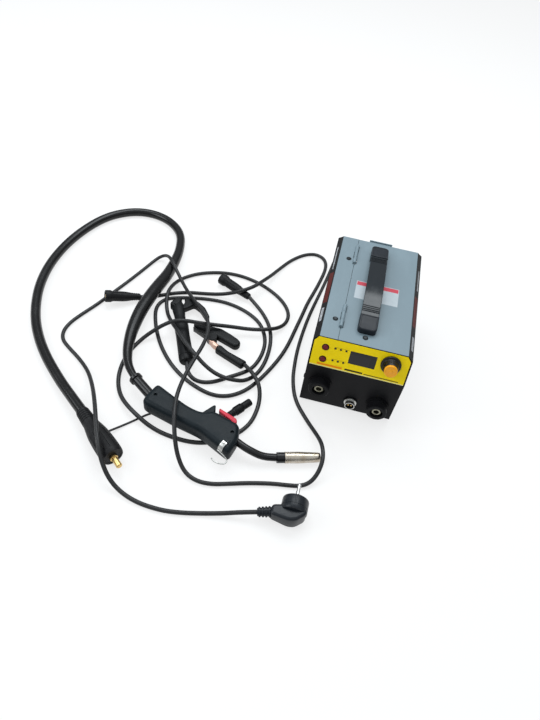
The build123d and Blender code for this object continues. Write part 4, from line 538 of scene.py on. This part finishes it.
def turned(name, profile, sides=48):
    """A round piece on +Z: a disc drawn up through (radius, height) steps."""
    radius, height = profile[0]
    piece = begin(
        bpy.ops.mesh.primitive_circle_add, name, vertices=sides, radius=radius * MM, fill_type="NGON",
        location=(0.0, 0.0, height * MM),
    )
    bpy.ops.object.transform_apply(location=True, rotation=True, scale=True)
    bpy.ops.object.mode_set(mode="EDIT")
    bpy.ops.mesh.select_all(action="SELECT")
    for next_radius, next_height in profile[1:]:
        rise = (0.0, 0.0, (next_height - height) * MM)
        bpy.ops.mesh.extrude_region_move(TRANSFORM_OT_translate={"value": rise})
        share = next_radius / radius
        bpy.ops.transform.resize(value=(share, share, 1.0), center_override=(0.0, 0.0, next_height * MM))
        radius, height = next_radius, next_height
    bpy.ops.object.mode_set(mode="OBJECT")
    close_up(piece)
    return piece


def fluted(piece, low, high, every, depth, margin=0.15):
    """Presses flutes into every n-th side face between two heights."""

    def on_side(middle, normal):
        return low < middle.z < high and abs(normal.z) < 0.5

    def angle(middle):
        return round(math.degrees(math.atan2(middle.x, middle.y)), 1)

    only(piece)
    bpy.ops.object.mode_set(mode="EDIT")
    sides = [(f.calc_center_median(), f.normal) for f in bmesh.from_edit_mesh(piece.data).faces]
    angles = {angle(middle) for middle, normal in sides if on_side(middle / MM, normal)}
    chosen = set(sorted(angles)[::every])
    pick(piece, lambda middle, normal: on_side(middle, normal) and angle(middle) in chosen)
    bpy.ops.mesh.inset(thickness=margin * MM, depth=-depth * MM)
    bpy.ops.object.mode_set(mode="OBJECT")
    return piece


def settle(piece, matrix):
    """Puts a piece in its place and applies that to its mesh."""
    piece.matrix_world = matrix
    only(piece)
    bpy.ops.object.transform_apply(location=True, rotation=True, scale=True)
    return piece


def aim(piece, start, end, roll=0.0):
    """Stands a turned piece at start, its axis towards end."""
    way = Vector(end) - Vector(start)
    facing = way.to_track_quat("Z", "Y").to_matrix().to_4x4() @ Matrix.Rotation(roll, 4, "Z")
    return settle(piece, Matrix.Translation(Vector(start) * MM) @ facing)


def eased(points, reach, steps=4):
    """The outline with each corner drawn as a short bend that takes up less than half a side."""
    bent, most = [], 0.45
    for i, corner in enumerate(points):
        here = Vector(corner)
        before, after = Vector(points[i - 1]) - here, Vector(points[(i + 1) % len(points)]) - here
        start = here + before.normalized() * min(reach, most * before.length)
        end = here + after.normalized() * min(reach, most * after.length)
        for k in range(steps + 1):
            t = k / steps
            bent.append(start * (1 - t) ** 2 + here * (2 * t * (1 - t)) + end * t ** 2)
    return bent


def slab(name, outline, low, high, rounding, steps=4):
    """A flat piece cut to an outline, lying between two heights, with a rounded rim."""
    curve = bpy.data.curves.new(name, "CURVE")
    curve.dimensions = "2D"
    curve.fill_mode = "BOTH"
    line = curve.splines.new("POLY")
    line.points.add(len(outline) - 1)
    for point, spot in zip(line.points, outline):
        point.co = (spot[0] * MM, spot[1] * MM, 0.0, 1.0)
    line.use_cyclic_u = True
    curve.extrude = ((high - low) / 2 - rounding) * MM
    curve.bevel_depth = rounding * MM
    curve.bevel_resolution = steps
    curve.offset = -rounding * MM
    piece = bpy.data.objects.new(name, curve)
    bpy.context.scene.collection.objects.link(piece)
    only(piece)
    bpy.ops.object.convert(target="MESH")
    piece = bpy.context.active_object
    settle(piece, Matrix.Translation((0.0, 0.0, (low + high) / 2 * MM)))
    close_up(piece)
    return piece


def cut_at(piece, spot, way):
    """Cuts a piece by a plane and keeps what lies along way."""
    only(piece)
    bpy.ops.object.mode_set(mode="EDIT")
    bpy.ops.mesh.select_all(action="SELECT")
    bpy.ops.mesh.bisect(
        plane_co=Vector(spot) * MM, plane_no=way, use_fill=True, clear_inner=True, clear_outer=False
    )
    bpy.ops.object.mode_set(mode="OBJECT")
    return piece


def carve(piece, cutter):
    """Takes a cutter's shape out of a piece and removes the cutter."""
    only(piece)
    knife = piece.modifiers.new("carve", "BOOLEAN")
    knife.object = cutter
    knife.solver = "EXACT"
    bpy.ops.object.modifier_apply(modifier=knife.name)
    bpy.data.objects.remove(cutter)
    return piece


def joined(first, *others):
    """Several shapes of one moulding made one piece."""
    only(first)
    for other in others:
        other.select_set(True)
    bpy.ops.object.join()
    return first


def hand_over(piece, finish, body, slot, *stands_for, angle=38.0):
    """Smooths a finished piece, gives it its finish and mounts it on its body."""
    only(piece)
    bpy.ops.object.shade_smooth_by_angle(angle=math.radians(angle))
    piece.data.materials.clear()
    piece.data.materials.append(finish.material)
    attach(piece, body)
    if stands_for:
        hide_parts(*stands_for)
    return piece


# Carrying strap and its end caps

SIDE_ON = Matrix(((0, 0, 1, 0), (1, 0, 0, 0), (0, 1, 0, 0), (0, 0, 0, 1)))
STRAP_FRONT, STRAP_REAR = -74.5, 73.0


def carrying_strap():
    """A bowed band with cross grooves near both ends."""
    low, thick, bow, half_width, sink = 156.0, 3.5, 6.0, 14.0, 0.8
    middle, half = (STRAP_FRONT + STRAP_REAR) / 2, (STRAP_REAR - STRAP_FRONT) / 2
    grooves = [-67.6, -64.0, -60.4, -56.8, 55.6, 59.2, 62.8, 66.4]
    clear_of_groove, strips = 1.6, 45

    def height(y):
        return low + bow * (1 - ((y - middle) / half) ** 2)

    steps = [STRAP_FRONT + (STRAP_REAR - STRAP_FRONT) * i / strips for i in range(strips + 1)]
    under = [(y, height(y)) for y in steps]
    over = [(y, height(y) + thick) for y in steps if min(abs(y - at) for at in grooves) > clear_of_groove]
    for at in grooves:
        crest = height(at) + thick
        over += [(at - 1.0, crest), (at - 0.6, crest - sink), (at + 0.6, crest - sink), (at + 1.0, crest)]
    over.sort(reverse=True)
    band = slab("carry_strap", under + over, -half_width, half_width, 0.9, 3)
    settle(band, SIDE_ON)
    hand_over(band, strap_black, "lid_assembly", "handle_black", "handle_strap")


def strap_cap_shape(name, inner, outer):
    """An end cap: round outer corners, a raised rim round its top and a fall outwards."""
    side, corner, step = 14.3, 7.0, 1.0 if outer > inner else -1.0
    turns = [math.pi / 2 * i / 7 for i in range(8)]
    bend = [
        (side - corner + corner * math.cos(a), outer - step * (corner - corner * math.sin(a))) for a in turns
    ]
    plan = [(-side, inner), (side, inner)] + bend + [(-x, y) for x, y in reversed(bend)]
    cap = slab(name, plan, 145.2, 160.7, 1.6, 5)
    cut_at(cap, (0, 0, LID_TOP), (0, 0, 1))
    only(cap)
    bpy.ops.object.mode_set(mode="EDIT")
    pick(cap, lambda middle, normal: normal.z > 0.999 and middle.z > 155)
    bpy.ops.mesh.inset(thickness=1.0 * MM, depth=0.0)
    bpy.ops.mesh.inset(thickness=0.5 * MM, depth=-0.7 * MM)
    bpy.ops.object.mode_set(mode="OBJECT")
    foot, fall, bow = LID_TOP * MM, 0.30, 1.6
    for vertex in cap.data.vertices:
        share = max(0.0, (vertex.co.y / MM - inner) / (outer - inner))
        vertex.co.z = foot + (vertex.co.z - foot) * (1 - fall * share**bow)
    return cap


def strap_caps():
    """Both end caps as one piece."""
    caps = joined(
        strap_cap_shape("strap_caps", STRAP_FRONT, -104.5), strap_cap_shape("rear_cap", STRAP_REAR, 107.0)
    )
    hand_over(caps, cap_black, "lid_assembly", "handle_black", "handle_caps")


# Control panel

FACE_DOWN = Vector((0.0, -0.269630, -0.962964))
FACE_OUT = Vector((0.0, -0.962964, 0.269630))
FACE_TOP_Y = -129.0


def on_face(x, down, out=0.0):
    """A point on the leaning control face."""
    return Vector((x, FACE_TOP_Y, LID_TOP)) + FACE_DOWN * down + FACE_OUT * out


def on_panel(piece, x, down):
    """Stands a turned piece on the control face."""
    return aim(piece, on_face(x, down), on_face(x, down, 1.0))


def controls():
    """Buttons in their rings, and the dial with its amber cap."""
    button_x, dial_spot = -54.0, (45.6, 20.2)
    for name, down, body, node in (
        ("red_button_upper", 16.5, "upper_button", "button_upper"),
        ("red_button_lower", 37.4, "lower_button", "button_lower"),
    ):
        key = turned(
            name, [(4.1, -7.6), (4.2, -7.0), (4.2, 1.5), (4.0, 2.0), (3.5, 2.35), (2.5, 2.1), (1.0, 2.0)], 40
        )
        hand_over(on_panel(key, button_x, down), red_key, body, "button_red", node)
        ring = turned(name + "_ring", [(5.5, 0.7), (5.5, 1.2), (5.2, 1.5), (4.8, 1.5), (4.6, 1.3)], 40)
        carve(ring, turned("key_hole", [(4.5, 0.0), (4.5, 2.0)], 40))
        hand_over(on_panel(ring, button_x, down), bezel_black, "welder", "bezel_black")
    dial = turned(
        "dial_knob",
        [(15.0, 0.9), (15.2, 1.2), (15.2, 3.6), (14.7, 4.4), (13.6, 4.9), (12.4, 5.0), (12.0, 5.4),
         (11.7, 6.2), (11.1, 15.4), (10.6, 16.9), (10.2, 17.5), (9.9, 17.5), (9.9, 17.0)],
        72,
    )
    fluted(dial, 6.4, 15.2, 3, 0.55)
    hand_over(on_panel(dial, *dial_spot), knob_black, "dial", "knob_black", "knob", angle=30.0)
    top = turned(
        "dial_cap",
        [(9.6, 17.1), (9.8, 17.3), (9.8, 19.8), (9.5, 20.6), (8.9, 21.0), (7.6, 21.0), (7.2, 20.6),
         (3.4, 20.5), (3.0, 20.8), (1.0, 20.9)],
        56,
    )
    hand_over(on_panel(top, *dial_spot), amber, "dial", "knob_amber", "knob_cap")


# Torch


def torch_half(name, way):
    """One moulded shell, above or below the parting line, with its half of the guard."""
    outline = eased(
        [(-306, -236), (-295, -201), (-262, -217), (-235, -229), (-213, -234), (-196, -225.5), (-151, -239),
         (-146, -264), (-153, -294), (-205, -268), (-250, -258), (-301, -244)],
        9.0, 6,
    )
    horn = eased(
        [(-220, -240), (-212, -232), (-199, -213.5), (-196, -213.5), (-193.5, -226), (-200, -242)], 2.5
    )
    parting, half_gap = 22.3, 0.15
    edge, keep = (0, 0, parting + half_gap * way), (0, 0, way)
    trigger_pin, slot_turn = (-0.163, -0.239, 0.0223), math.radians(-19)
    body = cut_at(slab(name, outline, 7.3, 37.3, 8.5, 7), edge, keep)
    slot = begin(bpy.ops.mesh.primitive_cube_add, "trigger_slot", size=1.0)
    settle(slot, Matrix.Translation(trigger_pin) @ Matrix.Rotation(slot_turn, 4, "Z")
           @ Matrix.Diagonal((0.0166, 0.0166, 0.0108, 1.0)))
    carve(body, slot)
    guard = cut_at(slab("guard_" + name, horn, 12.3, 32.3, 2.5, 3), edge, keep)
    if way == 1:
        for x, y in ((-158.0, -258.0), (-289.0, -226.0)):
            well = turned("screw_well", [(3.0, 34.4), (3.0, 39.0)], 28)
            settle(well, Matrix.Translation((x * MM, y * MM, 0.0)))
            carve(body, well)
    return joined(body, guard)


def torch_handle():
    """Two moulded shells with a parting line, and the trigger between them."""
    upper, lower = torch_half("torch_half_upper", 1), torch_half("torch_half_lower", -1)
    hand_over(upper, torch_black, "welder", "torch_plastic", "torch_shell_upper", angle=32.0)
    hand_over(lower, torch_black, "welder", "torch_plastic", "torch_shell_lower", angle=32.0)
    blade = slab(
        "red_trigger",
        eased([(-190, -213.5), (-160, -225), (-157, -231), (-160, -234), (-189.5, -219.5)], 2.0),
        17.3, 27.3, 1.6, 4,
    )
    lug = slab(
        "trigger_lug",
        eased([(-167, -239), (-166, -228), (-159, -230), (-159, -239), (-163, -243)], 1.5),
        17.8, 26.8, 0.4, 2,
    )
    hand_over(joined(blade, lug), trigger_red, "trigger_blade", "trigger_red", "torch_trigger")


def hanging_hook():
    """A strap bent over the handle's shoulder, with a wire hook at its foot."""
    edge, outward = Vector((0.894, -0.447, 0.0)), Vector((-0.447, -0.894, 0.0))
    foot = Vector((-167.6, -286.7, 0.0))
    shoulder, thick, bend_height, low, back = 8.5, 1.2, 28.7, 25.0, -10.0
    half_width, eye_back, wire_radius = 4.0, 7.4, 1.0
    quarter = [math.pi / 2 * i / 8 for i in range(9)]

    def over_shoulder(radius):
        bend = [(radius * math.sin(a) - shoulder, bend_height + radius * math.cos(a)) for a in quarter]
        return [(back, bend_height + radius)] + bend + [(radius - shoulder, low)]

    outline = over_shoulder(shoulder) + over_shoulder(shoulder + thick)[::-1]
    strap = slab("hanging_hook", outline, -half_width, half_width, 0.3, 2)
    settle(strap, Matrix.Translation(foot * MM) @ Matrix((outward, (0, 0, 1), -edge)).transposed().to_4x4())
    eye = turned(
        "hook_eye", [(2.0, 37.4), (2.0, 39.2), (1.7, 39.5), (1.0, 39.5), (0.8, 39.2), (0.8, 38.9)], 28
    )
    settle(eye, Matrix.Translation((foot - outward * eye_back) * MM))
    bends = [(-172, -286.6, 26), (-166, -289.8, 26), (-158, -294, 24), (-153.5, -298, 21), (-156, -303.5, 20),
             (-164, -305, 20), (-174, -303.5, 20.5), (-177, -300, 22)]
    only(swept("hook_wire", bends, wire_radius, 8, 4))
    bpy.ops.object.convert(target="MESH")
    hand_over(joined(strap, eye, bpy.context.active_object), zinc, "welder", "zinc", "torch_hook")


def torch_front():
    """Gas nozzle with its base grooves."""
    start, end = (-84.0, -264.0, 10.3), (-24.0, -244.5, 8.8)
    cup = turned(
        "gas_nozzle",
        [(7.5, 10.1), (8.5, 10.1), (8.7, 10.5), (8.7, 13.0), (8.1, 13.3), (8.1, 14.1), (8.7, 14.4),
         (8.7, 17.0), (8.1, 17.3), (8.1, 18.1), (8.7, 18.4), (8.8, 30.0), (8.6, 35.0), (7.5, 60.0),
         (7.2, 63.4), (6.9, 64.0), (6.1, 64.0), (5.9, 63.2), (6.3, 44.0)],
        56,
    )
    hand_over(aim(cup, start, end), nozzle, "welder", "nozzle_steel", "torch_nozzle", angle=30.0)


# Plugs


def ribs(start, end, first, last, count, depth):
    """Profile steps of a ribbed sleeve from one radius to another."""
    steps, pitch = [], (end - start) / count
    for i in range(count):
        radius = first + (last - first) * (i + 0.5) / count
        at = start + i * pitch
        steps += [(radius - depth, at), (radius - depth, at + 0.30 * pitch), (radius, at + 0.42 * pitch),
                  (radius, at + 0.88 * pitch)]
    return steps


def torch_plug_boot():
    """Rubber boot with a ribbed tail and a fluted grip."""
    start, end = (-388.0, -275.0, 17.0), (-312.0, -336.0, 17.0)
    boot = turned(
        "torch_plug_boot",
        [(8.8, 0.0), (9.6, 0.6)] + ribs(1.5, 26.0, 10.0, 11.4, 6, 0.9)
        + [(11.2, 27.5), (12.4, 34.0), (14.6, 45.0), (15.6, 52.0), (16.6, 66.0), (17.0, 78.0), (17.0, 90.0),
           (16.4, 95.0), (15.5, 97.4), (13.0, 97.4), (12.6, 96.8)],
        60,
    )
    fluted(boot, 52.5, 89.0, 5, 0.8, 0.4)
    hand_over(aim(boot, start, end), rubber, "welder", "rubber_black", "torch_plug", angle=34.0)


def small_boots():
    """The boots of the electrode and earth plugs, open at the front round their pins."""
    for name, start, end, node in (
        ("electrode_boot", (-405.0, 1.0, 8.0), (-459.0, -30.0, 20.0), "electrode_plug"),
        ("earth_boot", (-214.0, 67.0, 9.5), (-278.0, 99.0, 11.5), "earth_plug"),
    ):
        length = (Vector(end) - Vector(start)).length
        boot = turned(
            name,
            [(5.2, 0.0), (6.0, 0.5)] + ribs(1.0, 0.24 * length, 6.4, 7.2, 4, 0.6)
            + [(7.2, 0.26 * length), (8.6, 0.38 * length), (9.2, 0.50 * length), (9.2, 0.78 * length),
               (10.2, 0.82 * length), (11.0, 0.85 * length), (11.0, length - 1.6), (10.4, length - 0.4),
               (9.6, length), (8.4, length), (8.0, length - 0.5), (8.0, length - 20.0)],
            48,
        )
        fluted(boot, 0.52 * length, 0.77 * length, 4, 0.5, 0.3)
        hand_over(aim(boot, start, end), rubber, "welder", "rubber_black", node, angle=34.0)


def round_trigger_plug():
    """The trigger lead's round plug, with a ribbed tail, a fluted grip and an open front."""
    start, end = (-177.0, -212.0, 7.5), (-150.0, -173.0, 7.5)
    plug = turned(
        "round_trigger_plug",
        [(4.0, 0.0), (5.0, 0.4)] + ribs(0.8, 13.0, 5.6, 6.2, 4, 0.6)
        + [(6.2, 14.2), (7.1, 15.4), (7.5, 16.2), (7.5, 29.0), (7.1, 29.6), (6.3, 31.2), (6.2, 32.0),
           (6.2, 46.6), (5.8, 47.4), (5.0, 47.4), (4.9, 46.8), (4.9, 40.0)],
        48,
    )
    fluted(plug, 16.4, 28.8, 2, 0.4, 0.12)
    hand_over(aim(plug, start, end), rubber, "welder", "rubber_black", "trigger_plug", angle=34.0)


def angled_mains_plug():
    """Ribbed sleeve, wedge body and round head, lying on the rim of the head."""
    entry, sleeve_end = Vector((-93.0, -360.0, 14.0)), Vector((-71.8, -354.9, 16.8))
    sleeve = turned(
        "angled_mains_plug",
        [(3.4, 0.0), (4.2, 0.3)] + ribs(0.6, 24.0, 7.0, 8.2, 5, 1.5) + [(7.0, 25.0)],
    )
    aim(sleeve, entry, sleeve_end)
    wedge = slab(
        "plug_wedge",
        eased([(-75, -362.5), (-75, -347.5), (-60, -344), (-46, -342), (-27, -344), (-25.5, -352),
               (-38, -364.5), (-48, -367)], 5.0, 5),
        3.0, 31.0, 4.5, 5,
    )
    middle, thin_from, thin_over, thinner = 0.017, -30.0, 45.0, 0.36
    for vertex in wedge.data.vertices:
        share = min(1.0, max(0.0, (thin_from - vertex.co.x / MM) / thin_over))
        vertex.co.z = middle + (vertex.co.z - middle) * (1 - thinner * share)
    head = turned(
        "plug_head",
        [(16.6, 0.0), (18.2, 0.8), (19.0, 2.4), (19.0, 6.4), (18.5, 6.8), (18.5, 7.6), (19.0, 8.0),
         (19.0, 19.6), (18.4, 21.2), (17.2, 22.0), (15.4, 22.0), (15.0, 21.4)],
        64,
    )
    fluted(head, 8.4, 19.2, 16, 0.7, 0.3)
    aim(head, (-44.0, -351.5, 19.0), (-44.0, -329.5, 19.0))
    hand_over(joined(sleeve, wedge, head), plug_black, "welder", "rubber_black", "mains_plug", angle=34.0)


# Earth clamp and electrode holder


def around(pivot, points):
    """Points given from a pivot, in the frame."""
    return [(pivot[0] + x, pivot[1] + y) for x, y in points]


def earth_clamp():
    """Two black handles on a pin, with a bare copper neck at the lower one."""
    pivot = (-248.5, -60.0)
    handle = slab(
        "clamp_lower_handle",
        eased(around(pivot, [(66, -49), (73, -36.5), (36, -23.5), (20, -13.5), (13.5, -16), (13, -26.5),
                             (20, -29.5)]), 4.0, 5),
        2.0, 16.0, 4.2, 6,
    )
    lower_ear = turned("clamp_ear", [(8.4, 2.0), (9.0, 2.6), (9.0, 5.7), (8.8, 6.0)], 40)
    upper_ear = turned("clamp_upper_ear", [(8.8, 12.0), (9.0, 12.3), (9.0, 15.4), (8.4, 16.0)], 40)
    for ear in (lower_ear, upper_ear):
        settle(ear, Matrix.Translation((pivot[0] * MM, pivot[1] * MM, 0.0)))
    hand_over(joined(handle, lower_ear, upper_ear), clamp_black, "welder", "torch_plastic", "clamp_fixed_arm")
    jaw = slab(
        "lower_copper_jaw",
        eased(around(pivot, [(24, -19), (10, -10), (-12, 4), (-39, 14), (-38, 11.5), (-12, -1.5), (6, -17),
                             (22, -25)]), 2.0, 4),
        3.6, 14.4, 1.6, 4,
    )
    hand_over(jaw, copper_jaw, "welder", "brass", "clamp_fixed_arm")
    moving = slab(
        "clamp_upper_handle",
        eased(around(pivot, [(43, -10), (50, -6), (51.5, 3), (46, 9), (30, 17), (10, 25), (-12, 25),
                             (-41, 22), (-38, 15.5), (-12, 11), (14, 1), (30, -5)]), 4.0, 5),
        2.0, 16.0, 4.2, 6,
    )
    hand_over(moving, clamp_black, "clamp_jaw", "torch_plastic", "clamp_moving_arm")


def electrode_holder():
    """Round handle with grip rings, and the curved lever."""
    tail, nose = (-272.0, -127.0, 11.0), (-333.0, 3.0, 11.0)
    grip = turned(
        "holder_handle",
        [(7.6, 0.0), (9.4, 0.8), (10.4, 3.0), (11.0, 6.0), (11.0, 10.0), (10.4, 10.6), (10.4, 12.0),
         (11.0, 12.6), (10.6, 40.0), (10.4, 62.0), (11.0, 84.0), (11.0, 88.0), (9.8, 93.0), (8.2, 100.0),
         (8.6, 112.0), (10.0, 126.0), (9.8, 132.0), (8.8, 139.0), (7.6, 143.6), (5.0, 143.6)],
        56,
    )
    fluted(grip, 13.0, 61.0, 7, 0.5, 0.3)
    settle(grip, Matrix.Diagonal((1.16, 1.0, 1.0, 1.0)))
    aim(grip, tail, nose)
    jaw_room = turned("jaw_room", [(8.2, 4.6), (8.2, 17.4)], 40)
    settle(jaw_room, Matrix.Translation((-0.317, -0.009, 0.0)))
    carve(grip, jaw_room)
    head = slab(
        "holder_head", eased([(-345, -7), (-340, 12), (-329, 16), (-327, 6), (-329, -14)], 3.5, 5),
        2.0, 20.0, 4.0, 5,
    )
    hand_over(joined(grip, head), clamp_black, "welder", "torch_plastic", "holder_body", angle=34.0)
    pivot = (-317.0, -9.0)
    lever = slab(
        "holder_press_lever",
        eased(around(pivot, [(-1, -4), (-5, 2), (-4, 18), (-8, 25), (2, 29), (20, 25), (36, 14), (51, -6),
                             (45, -12), (29, 6), (15, 14), (5, 2)]), 4.0, 5),
        5.0, 17.0, 3.0, 5,
    )
    hand_over(lever, clamp_black, "electrode_lever", "torch_plastic", "holder_lever")


carrying_strap()
strap_caps()
controls()
torch_handle()
hanging_hook()
torch_front()
torch_plug_boot()
small_boots()
round_trigger_plug()
angled_mains_plug()
earth_clamp()
electrode_holder()

# The leads laid out

mains_cord = lead("mains_cord", MAINS, 6.5, lead_grey_black)
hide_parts("mains_lead")
hose_cord = lead("torch_hose_cord", HOSE, 17, hose_black, HOSE_WIDTHS)
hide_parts("torch_hose")
trigger_cord = lead("trigger_cord", TRIGGER_LEAD, 3.5, lead_grey_black)
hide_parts("trigger_lead")
electrode_cord = lead("electrode_cord", ELECTRODE[::-1], 7, lead_grey_black)
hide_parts("electrode_lead")
earth_cord = lead("earth_cord", EARTH[::-1], 7, lead_grey_black)
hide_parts("earth_lead")

# Floor, light and camera


def studio():
    """A pale floor that keeps the shadow, soft lamps and the photograph's camera."""
    cool_white, floor_glow = (0.92, 0.97, 1.0), 0.72
    bpy.ops.object.select_all(action="DESELECT")
    bpy.ops.mesh.primitive_plane_add(size=24.0, location=(0.0, 0.0, -0.0002))
    floor = bpy.context.active_object
    floor.name = "floor"
    ground = Finish("pale_floor", (0.92, 0.92, 0.92), 0.8)
    glow = ground.node("ShaderNodeEmission", None, {"Color": (1.0, 1.0, 1.0), "Strength": 1.0}).socket
    rays = ground.tree.nodes.new("ShaderNodeLightPath")
    seen = Value(ground, rays.outputs["Is Camera Ray"]) + Value(ground, rays.outputs["Is Glossy Ray"])
    seen = seen + Value(ground, rays.outputs["Is Transmission Ray"])
    blend = ground.tree.nodes.new("ShaderNodeMixShader")
    ground.feed(blend.inputs[0], seen * floor_glow)
    ground.tree.links.new(ground.shader.outputs[0], blend.inputs[1])
    ground.tree.links.new(glow, blend.inputs[2])
    ground.tree.links.new(blend.outputs[0], ground.tree.nodes["Material Output"].inputs[0])
    floor.data.materials.append(ground.material)

    world = bpy.data.worlds.new("studio_air")
    bpy.context.scene.world = world
    world.use_nodes = True
    tree = world.node_tree
    ways = tree.nodes.new("ShaderNodeTexCoord")
    split = tree.nodes.new("ShaderNodeSeparateXYZ")
    sky = tree.nodes.new("ShaderNodeValToRGB")
    tree.links.new(ways.outputs["Generated"], split.inputs[0])
    tree.links.new(split.outputs["Z"], sky.inputs[0])
    tree.links.new(sky.outputs[0], tree.nodes["Background"].inputs[0])
    sky.color_ramp.elements[0].position, sky.color_ramp.elements[1].position = 0.25, 0.90
    sky.color_ramp.elements[0].color = (0.32, 0.33, 0.34, 1.0)
    sky.color_ramp.elements[1].color = (*cool_white, 1.0)
    tree.nodes["Background"].inputs[1].default_value = 0.9

    def lamp(name, spot, toward, size, power):
        data = bpy.data.lights.new(name, "AREA")
        data.shape = "RECTANGLE"
        data.size, data.size_y = size
        data.energy = power
        data.color = cool_white
        light = bpy.data.objects.new(name, data)
        light.location = spot
        light.rotation_euler = (Vector(toward) - Vector(spot)).to_track_quat("-Z", "Y").to_euler()
        bpy.context.scene.collection.objects.link(light)

    lamp("overhead_softbox", (-0.3, 0.85, 1.9), (-0.2, -0.05, 0.0), (1.9, 1.1), 28.0)
    lamp("left_softbox", (-1.7, -0.6, 1.2), (-0.2, -0.05, 0.05), (1.0, 1.0), 12.0)

    lens = bpy.data.cameras.new("photo_camera")
    lens.sensor_width = 36.0
    lens.lens = 28.5
    lens.clip_start = 0.01
    view = bpy.data.objects.new("photo_camera", lens)
    right = Vector((0.96878278, 0.22483452, 0.10444792))
    down = Vector((0.23647389, -0.71157824, -0.66161658))
    ahead = Vector((-0.07443138, 0.66566196, -0.74253224))
    view.matrix_world = Matrix.Translation((-0.06645, -0.73027, 0.73882)) @ Matrix(
        (right, -down, -ahead)
    ).transposed().to_4x4()
    bpy.context.scene.collection.objects.link(view)
    bpy.context.scene.camera = view
    bpy.context.scene.view_settings.view_transform = "Standard"


studio()
